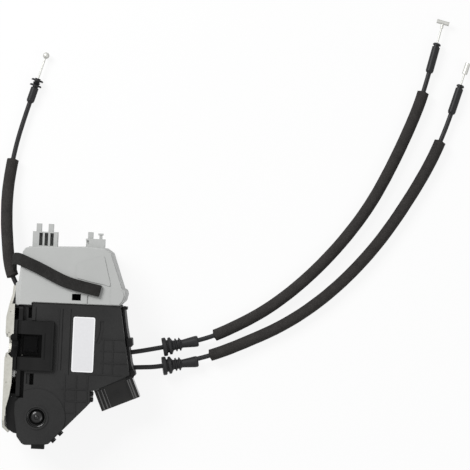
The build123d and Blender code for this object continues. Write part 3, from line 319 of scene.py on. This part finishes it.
CABLES = {}
for cable, line in (("inside", INSIDE_LINE), ("lock", LOCK_LINE), ("outside", OUTSIDE_LINE)):
    curve = route(f"{cable}_route", line)
    points = line_of(curve)
    sheath = sheath_tube(f"{cable}_cable", points)
    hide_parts(f"{cable}_sheath")
    CABLES[cable] = (curve, points, sheath)

# The table that the latch lies on. Its top runs into the white of the background, and keeps
# only a faint shadow.
TABLE_HALF = 3.0
TABLE_GAP = 0.0002
TABLE_WHITE = (0.8, 0.8, 0.8, 1.0)
SHADOW_WASH = 0.88


def rays(tree, *kinds):
    """A signal that is 1 for light rays of these kinds and 0 for the rest."""
    met = tree.node("ShaderNodeLightPath", output=f"Is {kinds[0]} Ray")
    for kind in kinds[1:]:
        met = met.larger(tree.node("ShaderNodeLightPath", output=f"Is {kind} Ray"))
    return met


table_finish = Finish("white_table", Roughness=0.9, Base_Color=TABLE_WHITE)
wash = rays(table_finish, "Camera", "Glossy") * SHADOW_WASH
shaded = Signal(table_finish, table_finish.shader.outputs[0])
glow = table_finish.node("ShaderNodeEmission", {}, {"Strength": 1.0})
washed = table_finish.node("ShaderNodeMixShader", {}, {0: wash, 1: shaded, 2: glow})
table_finish.feed(table_finish.tree.nodes["Material Output"].inputs["Surface"], washed)

table_top = cad_box[0].z - TABLE_GAP
corners = [
    (x * TABLE_HALF, y * TABLE_HALF, table_top) for x, y in ((-1, -1), (1, -1), (1, 1), (-1, 1))
]
table_mesh = bpy.data.meshes.new("table")
table_mesh.from_pydata(corners, [], [(0, 1, 2, 3)])
table_mesh.materials.append(table_finish.material)
shown("table", table_mesh)

# The light: a bright white room, one large soft lamp from the upper left and a weaker one from
# the right. A lamp has its place and width in metres, and its power in watts.
DAYLIGHT = 0.36
WHITE = (1.0, 1.0, 1.0, 1.0)
LAMPS = {"window": ((-0.8, 1.0, 1.2), 0.8, 30.0), "fill": ((1.3, -0.6, 1.3), 1.0, 8.0)}
LAMPS_AIM = Vector((0.1, 0.05, 0.0))

world = bpy.data.worlds.new("white_room")
world.use_nodes = True
room = Nodes(world.node_tree)
daylight = room.node("ShaderNodeBackground", {}, {"Color": WHITE, "Strength": DAYLIGHT})
backdrop = room.node("ShaderNodeBackground", {}, {"Color": WHITE, "Strength": 1.0})
looked_at = rays(room, "Camera", "Glossy", "Transmission")
around = room.node("ShaderNodeMixShader", {}, {0: looked_at, 1: daylight, 2: backdrop})
room.feed(room.tree.nodes["World Output"].inputs["Surface"], around)
room.tree.nodes.remove(room.tree.nodes["Background"])
bpy.context.scene.world = world
for name, (spot, width, watts) in LAMPS.items():
    lamp_data = bpy.data.lights.new(name, "AREA")
    lamp_data.size = width
    lamp_data.energy = watts
    lamp = shown(name, lamp_data)
    lamp.location = spot
    lamp.rotation_euler = (LAMPS_AIM - Vector(spot)).to_track_quat("-Z", "Y").to_euler()

# The foam sleeves stop the cables from rattling: soft tubes of open-cell foam pushed over the
# sheaths, a little uneven along their length and cut square at their ends.
SLEEVE_R = 0.0048
SLEEVE_BORE = 0.0021
SLEEVE_SIDES = 40
SLEEVE_STEP = 0.0008
SLEEVE_UNEVEN = 0.00035
FOAM_PORE, FOAM_SKIN = (0.014, 0.013, 0.013), (0.062, 0.058, 0.055)

# Where each sleeve starts along its cable, how far short of the cable's end it stops, and the
# seed of its unevenness.
SLEEVES = {
    "inside": (0.0762, 0.0201, 1.0),
    "lock": (0.0727, 0.0277, 2.0),
    "outside": (0.0200, 0.0520, 3.0),
}

foam_finish = Finish("open_cell_foam", Roughness=0.95, Specular_IOR_Level=0.1)
pores = foam_finish.cells(1500.0)
clouds = foam_finish.grain(160.0, 4.0, 0.65)
lint = foam_finish.grain(2600.0, 2.0)
tone = (clouds * 0.5 + pores * 0.55 + lint * 0.3 - 0.25).held()
foam_finish.colour(tone, FOAM_PORE, FOAM_SKIN)
foam_finish.bumps(pores * 0.6 + lint, 0.7, 0.0004)


class Tree(Nodes):
    """A Geometry Nodes tree in the making, with named inputs for its sizes."""

    def __init__(self, name, sizes):
        super().__init__(bpy.data.node_groups.new(name, "GeometryNodeTree"))
        ways = self.tree.interface
        ways.new_socket("Geometry", in_out="INPUT", socket_type="NodeSocketGeometry")
        self.sizes = {}
        for size, value in sizes.items():
            socket = ways.new_socket(size, in_out="INPUT", socket_type="NodeSocketFloat")
            socket.default_value = value
            self.sizes[size] = socket.identifier
        ways.new_socket("Geometry", in_out="OUTPUT", socket_type="NodeSocketGeometry")
        self.way_in = self.tree.nodes.new("NodeGroupInput")
        self.way_out = self.tree.nodes.new("NodeGroupOutput")

    def given(self, name):
        """The geometry that the tree is given, or one of its sizes."""
        return Signal(self, self.way_in.outputs[name])

    def ends_in(self, geometry, material):
        real = self.node("GeometryNodeRealizeInstances", {}, {"Geometry": geometry})
        smooth = self.node("GeometryNodeSetShadeSmooth", {}, {"Geometry": real})
        inputs = {"Geometry": smooth, "Material": material}
        painted = self.node("GeometryNodeSetMaterial", {}, inputs)
        self.feed(self.way_out.inputs["Geometry"], painted)


def grown(name, curve, tree, sizes):
    """What a tree makes along a route, as a piece of the latch body. The route is used up."""
    modifier = curve.modifiers.new(name, "NODES")
    modifier.node_group = tree.tree
    for size, value in sizes.items():
        modifier[tree.sizes[size]] = value
    mesh = plain_mesh(curve)
    bpy.data.objects.remove(curve)
    return fitted(name, mesh)


sleeve_tree = Tree("foam_sleeve", {
    "Start": 0.08, "End": 0.3, "Radius": SLEEVE_R, "Bore": SLEEVE_BORE, "Step": SLEEVE_STEP,
    "Unevenness": SLEEVE_UNEVEN, "Seed": 1.0,
})
cut = sleeve_tree.node("GeometryNodeTrimCurve", {"mode": "LENGTH"}, {
    "Curve": sleeve_tree.given("Geometry"), "Start": sleeve_tree.given("Start"),
    "End": sleeve_tree.given("End"),
})
steps = sleeve_tree.node("GeometryNodeResampleCurve", {"mode": "LENGTH"}, {
    "Curve": cut, "Length": sleeve_tree.given("Step"),
})
from_start = sleeve_tree.node("GeometryNodeSplineParameter", output="Length")
from_end = sleeve_tree.node("GeometryNodeSplineLength") - from_start
radius = sleeve_tree.node("ShaderNodeMapRange", {"interpolation_type": "SMOOTHSTEP"}, {
    "Value": from_start.smaller(from_end), "From Max": sleeve_tree.given("Step"),
    "To Min": sleeve_tree.given("Bore"), "To Max": sleeve_tree.given("Radius"),
})
ring = sleeve_tree.node("GeometryNodeCurvePrimitiveCircle", {}, {
    "Resolution": SLEEVE_SIDES, "Radius": 1.0,
})
even = sleeve_tree.node("GeometryNodeCurveToMesh", {}, {
    "Curve": steps, "Profile Curve": ring, "Scale": radius, "Fill Caps": True,
})
swell = sleeve_tree.node("ShaderNodeTexNoise", {"noise_dimensions": "4D"}, {
    "Scale": 90.0, "Detail": 3.0, "W": sleeve_tree.given("Seed"),
})
push = (swell - 0.5) * sleeve_tree.given("Unevenness")
outward = sleeve_tree.node("GeometryNodeInputNormal")
shift = sleeve_tree.node("ShaderNodeVectorMath", {"operation": "SCALE"}, {
    0: outward, "Scale": push,
})
uneven = sleeve_tree.node("GeometryNodeSetPosition", {}, {"Geometry": even, "Offset": shift})
sleeve_tree.ends_in(uneven, foam_finish.material)

for cable, (start, short_of_end, seed) in SLEEVES.items():
    curve, points, sheath = CABLES[cable]
    reach = sum((after - before).length for before, after in zip(points, points[1:]))
    sizes = {"Start": start, "End": reach - short_of_end, "Seed": seed}
    sleeve = grown(f"{cable}_foam", curve, sleeve_tree, sizes)
    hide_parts(f"{cable}_sleeve")
    cable != "outside"

# The cable ends: moulded black ferrules that clip into a bracket, steel wire, and die-cast zinc
# nipples, a T, a barrel and a ball, squeezed onto the wire.
FITTING_DARK, FITTING_PALE = (0.007, 0.007, 0.008), (0.020, 0.020, 0.021)
CAST_DULL, CAST_BRIGHT = (0.36, 0.36, 0.34), (0.66, 0.66, 0.63)


def dress(finish, *names):
    """Gives CAD nodes their finish, in place of the plain one that they came with."""
    for name in names:
        nodes[name].data.materials.clear()
        nodes[name].data.materials.append(finish.material)


fitting_finish = Finish("moulded_fitting", Specular_IOR_Level=0.2)
skin = fitting_finish.grain(500.0, 3.0)
fitting_finish.colour(skin, FITTING_DARK, FITTING_PALE)
fitting_finish.roughness(skin * 0.25 + 0.30)
fitting_finish.bumps(skin, 0.15, 0.0002)
dress(
    fitting_finish, "inside_ferrule", "lock_ferrule", "outside_ferrule",
    "inside_inner_ferrule", "lock_inner_ferrule", "outside_inner_ferrule",
)

cast_finish = Finish("cast_zinc", Metallic=0.6)
pits = cast_finish.grain(1200.0, 3.0)
dulling = cast_finish.grain(220.0, 3.0)
cast_finish.colour((pits * 0.5 + dulling * 0.5).held(), CAST_DULL, CAST_BRIGHT)
cast_finish.roughness(dulling * 0.3 + 0.3)
cast_finish.bumps(pits, 0.3, 0.0002)
dress(cast_finish, "inside_wire_end", "lock_wire_end", "outside_wire_end")

# The grommets of the two long cables: moulded rubber plugs that seal them in the door's inner
# panel, with two fixing discs, ribs and a tail. The latch's bump stop is the same rubber.
RUBBER_CLEAN, RUBBER_DUSTY = (0.006, 0.006, 0.007), (0.026, 0.026, 0.027)

rubber_finish = Finish("moulded_rubber", Specular_IOR_Level=0.2)
bloom = rubber_finish.grain(300.0, 3.0)
dust = rubber_finish.grain(45.0, 4.0, 0.7)
rubber_finish.colour((bloom * 0.4 + dust * 0.6).held(), RUBBER_CLEAN, RUBBER_DUSTY)
rubber_finish.roughness(dust * 0.3 + 0.36)
rubber_finish.bumps(bloom, 0.2, 0.0002)
dress(rubber_finish, "inside_grommet", "lock_grommet", "bump_stop")

# The latch plate: pressed and folded 2 mm steel, zinc plated and clear passivated, with three
# threaded collars. The rolling of the sheet still shows along it.
ZINC_DULL, ZINC_BRIGHT = (0.34, 0.335, 0.295), (0.64, 0.63, 0.58)
ROLLED_ALONG = (1.0, 0.25, 1.0)

zinc_finish = Finish("zinc_plate", Metallic=0.5)
spangle = zinc_finish.cells(420.0)
rolled = zinc_finish.grain(90.0, 4.0, 0.6, ROLLED_ALONG)
handled = zinc_finish.grain(28.0, 3.0)
plating = (spangle * 0.25 + rolled * 0.7 + handled * 0.5 - 0.25).held()
zinc_finish.colour(plating, ZINC_DULL, ZINC_BRIGHT)
zinc_finish.roughness(rolled * 0.35 + 0.22)
zinc_finish.bumps(rolled, 0.12, 0.0003)
dress(
    zinc_finish, "base_plate", "case_screws", "back_plate", "motor_can", "inside_lever",
    "outside_lever",
)

# The latch case: smooth glass-filled black plastic, snapped onto the latch plate, with the
# striker pocket's tray clipped into it from the cabin side.
CASE_DARK, CASE_PALE = (0.003, 0.003, 0.003), (0.012, 0.012, 0.012)

case_finish = Finish("smooth_black", Specular_IOR_Level=0.14)
flow = case_finish.grain(70.0, 3.0)
speckle = case_finish.grain(1400.0, 2.0)
case_finish.colour((flow * 0.6 + speckle * 0.4).held(), CASE_DARK, CASE_PALE)
case_finish.roughness(flow * 0.25 + 0.30)
case_finish.bumps(speckle, 0.12, 0.0001)
dress(case_finish, "latch_case", "striker_tray", "fork_jacket", "ajar_switch", "lock_switch")

# The lip of the striker pocket's floor, which covers the back plate's cut edge. Its outline and
# its heights are in millimetres.
LIP_OUTLINE = [(9.3, -8.8), (11.55, -8.8), (11.55, 9.6), (9.3, 9.6)]
LIP_LOW, LIP_HIGH = -10.2, -9.0


def moulding(name, outline, low, high, finish, rounding=0.0003, placed=None):
    """A small plastic form: an outline in millimetres raised from low to high, edges rounded."""
    shape = bmesh.new()
    floor, top = (
        [shape.verts.new((x / 1000, y / 1000, height / 1000)) for x, y in outline]
        for height in (low, high)
    )
    shape.faces.new(floor)
    shape.faces.new(top)
    wall(shape, floor, top)
    bmesh.ops.recalc_face_normals(shape, faces=shape.faces)
    if placed:
        bmesh.ops.transform(shape, matrix=placed, verts=shape.verts)
    softened = settled(name, shape, finish).modifiers.new("moulded_edges", "BEVEL")
    softened.width = rounding
    softened.segments = 3
    softened.limit_method = "ANGLE"


moulding("pocket_lip", LIP_OUTLINE, LIP_LOW, LIP_HIGH, case_finish)

# The fork, the pawl and their pins: hardened steel, tumbled and oiled, riveted between the
# latch plate and the back plate. The shafts, pins and wires of the module are bare steel too.
STEEL_DULL, STEEL_BRIGHT = (0.36, 0.36, 0.36), (0.58, 0.58, 0.57)

steel_finish = Finish("bare_steel", Metallic=0.9)
ground = steel_finish.grain(600.0, 3.0)
oiled = steel_finish.grain(80.0, 3.0)
steel_finish.colour((ground * 0.5 + oiled * 0.5).held(), STEEL_DULL, STEEL_BRIGHT)
steel_finish.roughness(oiled * 0.3 + 0.2)
steel_finish.bumps(ground, 0.1, 0.0002)
dress(
    steel_finish, "fork_bolt", "pawl", "fork_pin", "pawl_pin", "fork_spring", "pawl_spring",
    "motor_shaft", "motor_armature", "wheel_axle", "inside_lever_pin", "lock_lever_pin",
    "outside_lever_pin", "inside_wire_tail", "lock_wire_tail", "outside_wire_tail",
)

# The lock module: two spark-textured black shells, a housing and its cover, and the small
# cover over the two long cables' way out.
TEXTURE_LOW, TEXTURE_HIGH = (0.005, 0.005, 0.005), (0.034, 0.034, 0.034)

black_finish = Finish("moulded_black", Specular_IOR_Level=0.16)
pebbles = black_finish.grain(2400.0, 2.0)
patches = black_finish.grain(38.0, 4.0, 0.6)
grit = black_finish.cells(1300.0)
texture = (pebbles * 0.5 + patches * 0.6 + grit * 0.25 - 0.2).held()
black_finish.colour(texture, TEXTURE_LOW, TEXTURE_HIGH)
black_finish.roughness(patches * 0.25 + 0.42)
black_finish.bumps(pebbles, 0.4, 0.00012)
dress(black_finish, "module_housing", "module_cover", "cable_cover", "motor_end_cap")

# Two webs moulded on the module: one closes the room between the latch plate's lower end and
# the cover, over the screw collars, and one stiffens the corner where the connector leaves.
# Their outlines and heights are in millimetres.
PLATE_WEB = [
    (2.8, -40.85), (2.6, -50.0), (2.8, -60.0), (3.2, -64.0), (6.2, -68.2), (9.0, -70.0),
    (11.5, -70.3), (9.0, -53.3), (9.2, -45.2), (12.6, -40.85),
]
PLATE_WEB_LOW, PLATE_WEB_HIGH = 16.8, 18.4
CORNER_WEB = [
    (96.0, -23.2), (99.6, -18.6), (101.5, -18.2), (103.6, -20.2), (102.6, -22.8), (99.0, -24.0),
]
CORNER_WEB_LOW, CORNER_WEB_HIGH = -1.0, 2.8

moulding(
    "plate_web", PLATE_WEB, PLATE_WEB_LOW, PLATE_WEB_HIGH, case_finish,
    rounding=0.0001,
)
moulding(
    "corner_web", CORNER_WEB, CORNER_WEB_LOW, CORNER_WEB_HIGH, black_finish,
)

# The plug in the round boss: polished black plastic with a low dome, clipped in. A thin glossy
# black ring lies in the step round it. The ring is painted shade, standing in for the shadow deep
# in the well round the plug.
GLOSS_DARK, GLOSS_PALE = (0.003, 0.003, 0.003), (0.010, 0.010, 0.010)
SHADE_RING_INNER, SHADE_RING_MIDDLE, SHADE_RING_OUTER = 0.00724, 0.00765, 0.00806
SHADE_RING_FOOT, SHADE_RING_SHOULDER, SHADE_RING_CROWN = 0.01942, 0.0197, 0.0199
SHADE_RING_TURNS = 72
SHADE_RING_SECTION = [
    (SHADE_RING_INNER, SHADE_RING_FOOT), (SHADE_RING_OUTER, SHADE_RING_FOOT), (SHADE_RING_OUTER, SHADE_RING_SHOULDER),
    (SHADE_RING_MIDDLE, SHADE_RING_CROWN), (SHADE_RING_INNER, SHADE_RING_SHOULDER),
]

gloss_finish = Finish("gloss_black", Specular_IOR_Level=0.35)
sheen = gloss_finish.grain(120.0, 3.0)
gloss_finish.colour(sheen, GLOSS_DARK, GLOSS_PALE)
gloss_finish.roughness(sheen * 0.2 + 0.10)
dress(gloss_finish, "boss_plug")

plug_low, plug_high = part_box("boss_plug")
plug = (plug_low + plug_high) / 2
# The ring of painted shade in the step round the plug, where the well would lie in shadow.
shade_ring_shape = bmesh.new()
sections = []
for step in range(SHADE_RING_TURNS):
    turn = Matrix.Rotation(step * math.tau / SHADE_RING_TURNS, 4, "Z")
    spots = [turn @ Vector((radius, 0, height)) for radius, height in SHADE_RING_SECTION]
    sections.append([shade_ring_shape.verts.new((plug.x + x, plug.y + y, z)) for x, y, z in spots])
for before, after in zip(sections, sections[1:] + sections[:1]):
    wall(shade_ring_shape, before, after)
bmesh.ops.recalc_face_normals(shade_ring_shape, faces=shade_ring_shape.faces)
settled("painted_well_shade", shade_ring_shape, gloss_finish)

# The wiring connector: a glossy black shell with tinned brass contacts, and five polished ridges
# along its face. Their colour is lighter than the shell's as a painted highlight. A ridge has its
# left and right edge, in millimetres from the corner.
CONNECTOR_CORNER = (0.0714, -0.0346, 0.0)
CONNECTOR_TURN = math.radians(23.6)
RIDGE_LOW, RIDGE_HIGH = 2.9, 4.5
RIDGE_NEAR, RIDGE_FAR = -17.7, -0.7
RIDGE_ROUNDING = 0.00044
RIDGES = {"a": (1.9, 3.3), "b": (4.9, 6.3), "c": (7.7, 8.6), "d": (27.5, 28.9), "e": (29.1, 30.7)}
SHELL_DARK, SHELL_PALE = (0.002, 0.002, 0.002), (0.024, 0.023, 0.021)
RIDGE_HIGHLIGHT_DARK, RIDGE_HIGHLIGHT_PALE = (0.006, 0.006, 0.006), (0.040, 0.039, 0.037)
TIN_DULL, TIN_BRIGHT = (0.55, 0.52, 0.42), (0.70, 0.67, 0.56)

shell_finish = Finish("connector_black", Specular_IOR_Level=0.28)
swirl = shell_finish.grain(140.0, 3.0)
shell_finish.colour(swirl, SHELL_DARK, SHELL_PALE)
shell_finish.roughness(swirl * 0.2 + 0.06)
dress(shell_finish, "connector_shell")

# The ridges are polished, and their lighter colour is painted highlight.
ridge_highlight_finish = Finish("polished_ridge", Specular_IOR_Level=1.0)
polish = ridge_highlight_finish.grain(160.0, 3.0)
ridge_highlight_finish.colour(polish, RIDGE_HIGHLIGHT_DARK, RIDGE_HIGHLIGHT_PALE)
ridge_highlight_finish.roughness(polish * 0.2 + 0.05)
on_connector = Matrix.Translation(CONNECTOR_CORNER) @ Matrix.Rotation(CONNECTOR_TURN, 4, "Z")
for ridge, (left, right) in RIDGES.items():
    outline = [(left, RIDGE_NEAR), (right, RIDGE_NEAR), (right, RIDGE_FAR), (left, RIDGE_FAR)]
    moulding(
        f"connector_ridge_{ridge}", outline, RIDGE_LOW, RIDGE_HIGH, ridge_highlight_finish,
        rounding=RIDGE_ROUNDING, placed=on_connector,
    )

tin_finish = Finish("tinned_brass", Metallic=1.0)
tin = tin_finish.grain(800.0, 2.0)
tin_finish.colour(tin, TIN_DULL, TIN_BRIGHT)
tin_finish.roughness(tin * 0.2 + 0.2)
dress(tin_finish, "connector_pins")

# The weather cover: light grey talc-filled plastic that keeps water off the lock, clipped over
# the module's top.
GREY_DARK, GREY_PALE = (0.36, 0.368, 0.36), (0.475, 0.482, 0.474)

grey_finish = Finish("moulded_grey", Specular_IOR_Level=0.3)
fine = grey_finish.grain(1800.0, 2.0)
cast = grey_finish.grain(22.0, 4.0, 0.6)
grey_finish.colour((fine * 0.35 + cast * 0.65).held(), GREY_DARK, GREY_PALE)
grey_finish.roughness(cast * 0.2 + 0.40)
grey_finish.bumps(fine, 0.15, 0.0001)
dress(grey_finish, "weather_cover")

# The label: plain white film with a matt face, stuck on the cover. A narrow brighter rim is
# left where its face is not varnished.
LABEL_RIM = 0.0008
LABEL_GREY, LABEL_WHITE = (0.665, 0.665, 0.68), (0.71, 0.71, 0.725)
LABEL_RIM_WHITE = (0.86, 0.86, 0.87)

label_low, label_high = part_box("label")
label_middle = (label_low + label_high) / 2
label_half = (label_high - label_low) / 2
label_finish = Finish("label_film")
paper = label_finish.grain(500.0, 2.0)
past_side, past_end = (
    abs(label_finish.along(axis) - label_middle[axis]) - (label_half[axis] - LABEL_RIM)
    for axis in (0, 1)
)
face = label_finish.between(paper, LABEL_GREY, LABEL_WHITE)
label_finish.colour(past_side.larger(past_end) > 0.0, face, LABEL_RIM_WHITE)
label_finish.roughness(paper * 0.15 + 0.30)
dress(label_finish, "label")

# The foam strip: soft sealing foam with its own glue, laid over the weather cover. Its left end
# goes over the cover's edge and hangs down beside the outside cable.
STRIP_THICK = 0.0030
STRIP_LIFT = 0.00025
STRIP_ACROSS = 6
STRIP_EDGE = 0.0005
STRIP_SOFTNESS = 2
STRIP_PORE, STRIP_SKIN = (0.006, 0.006, 0.006), (0.046, 0.045, 0.043)

# Each station is the strip's near edge and far edge, on its underside, in millimetres.
STATIONS = [
    ((73.1, 41.9, 21.5), (75.1, 51.1, 21.5)), ((61.5, 44.2, 21.5), (63.3, 53.4, 21.5)),
    ((48.8, 46.9, 21.5), (51.3, 56.0, 21.5)), ((39.3, 50.3, 21.5), (43.2, 58.9, 21.5)),
    ((25.3, 57.3, 21.5), (29.2, 65.9, 21.5)), ((17.2, 60.9, 21.5), (21.0, 69.4, 21.5)),
    ((12.2, 62.9, 21.5), (14.6, 71.9, 21.5)), ((9.2, 64.2, 20.9), (11.4, 73.4, 21.2)),
    ((7.0, 64.8, 19.4), (8.6, 74.3, 19.6)), ((5.3, 64.6, 16.5), (6.0, 74.2, 16.8)),
    ((4.9, 63.4, 12.0), (4.9, 73.2, 12.6)), ((5.2, 60.8, 8.2), (4.8, 70.6, 9.0)),
    ((5.4, 58.2, 5.4), (5.0, 68.0, 4.6)),
]

strip_foam = Finish("sealing_foam", Roughness=0.95, Specular_IOR_Level=0.08)
strip_pores = strip_foam.cells(1900.0)
strip_clouds = strip_foam.grain(120.0, 4.0, 0.65)
strip_tone = (strip_clouds * 0.6 + strip_pores * 0.5 - 0.1).held()
strip_foam.colour(strip_tone, STRIP_PORE, STRIP_SKIN)
strip_foam.bumps(strip_pores, 0.6, 0.0003)

strip_shape = bmesh.new()
rows = []
for near, far in STATIONS:
    near, far = Vector(near) / 1000, Vector(far) / 1000
    spots = [near.lerp(far, step / STRIP_ACROSS) for step in range(STRIP_ACROSS + 1)]
    rows.append([strip_shape.verts.new(spot) for spot in spots])
for before, after in zip(rows, rows[1:]):
    for step in range(STRIP_ACROSS):
        strip_shape.faces.new((before[step], before[step + 1], after[step + 1], after[step]))
strip_shape.normal_update()
for vertex in strip_shape.verts:
    vertex.co += vertex.normal * STRIP_LIFT
draft_mesh = bpy.data.meshes.new("strip_draft")
strip_shape.to_mesh(draft_mesh)
strip_shape.free()
draft = shown("strip_draft", draft_mesh)
thickness = draft.modifiers.new("thickness", "SOLIDIFY")
thickness.thickness = STRIP_THICK
thickness.offset = 1.0
edge = draft.modifiers.new("cut_edges", "BEVEL")
edge.width = STRIP_EDGE
edge.segments = 2
softness = draft.modifiers.new("softness", "SUBSURF")
softness.levels = STRIP_SOFTNESS
softness.render_levels = STRIP_SOFTNESS
strip_mesh = plain_mesh(draft)
bpy.data.objects.remove(draft)
for polygon in strip_mesh.polygons:
    polygon.use_smooth = True
strip_mesh.materials.append(strip_foam.material)
strip = fitted("sealing_strip", strip_mesh)
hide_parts("foam_strip")

# The works inside the module: the motor's worm is turned brass, the wheel, the lock lever and
# the release link are natural acetal.
BRASS_DULL, BRASS_BRIGHT = (0.60, 0.44, 0.20), (0.74, 0.57, 0.30)
ACETAL_WARM, ACETAL_PALE = (0.66, 0.65, 0.60), (0.76, 0.75, 0.70)

brass_finish = Finish("turned_brass", Metallic=1.0)
turned = brass_finish.grain(900.0, 2.0)
brass_finish.colour(turned, BRASS_DULL, BRASS_BRIGHT)
brass_finish.roughness(turned * 0.2 + 0.2)
dress(brass_finish, "worm")

acetal_finish = Finish("natural_acetal")
milky = acetal_finish.grain(200.0, 2.0)
acetal_finish.colour(milky, ACETAL_WARM, ACETAL_PALE)
acetal_finish.roughness(milky * 0.2 + 0.32)
dress(acetal_finish, "worm_wheel", "lock_lever", "release_link")

# The CAD nodes that the scene's own pieces stand for keep the finish of those pieces.
dress(sheath_finish, "inside_sheath", "lock_sheath", "outside_sheath")
dress(foam_finish, "inside_sleeve", "lock_sleeve", "outside_sleeve")
dress(strip_foam, "foam_strip")
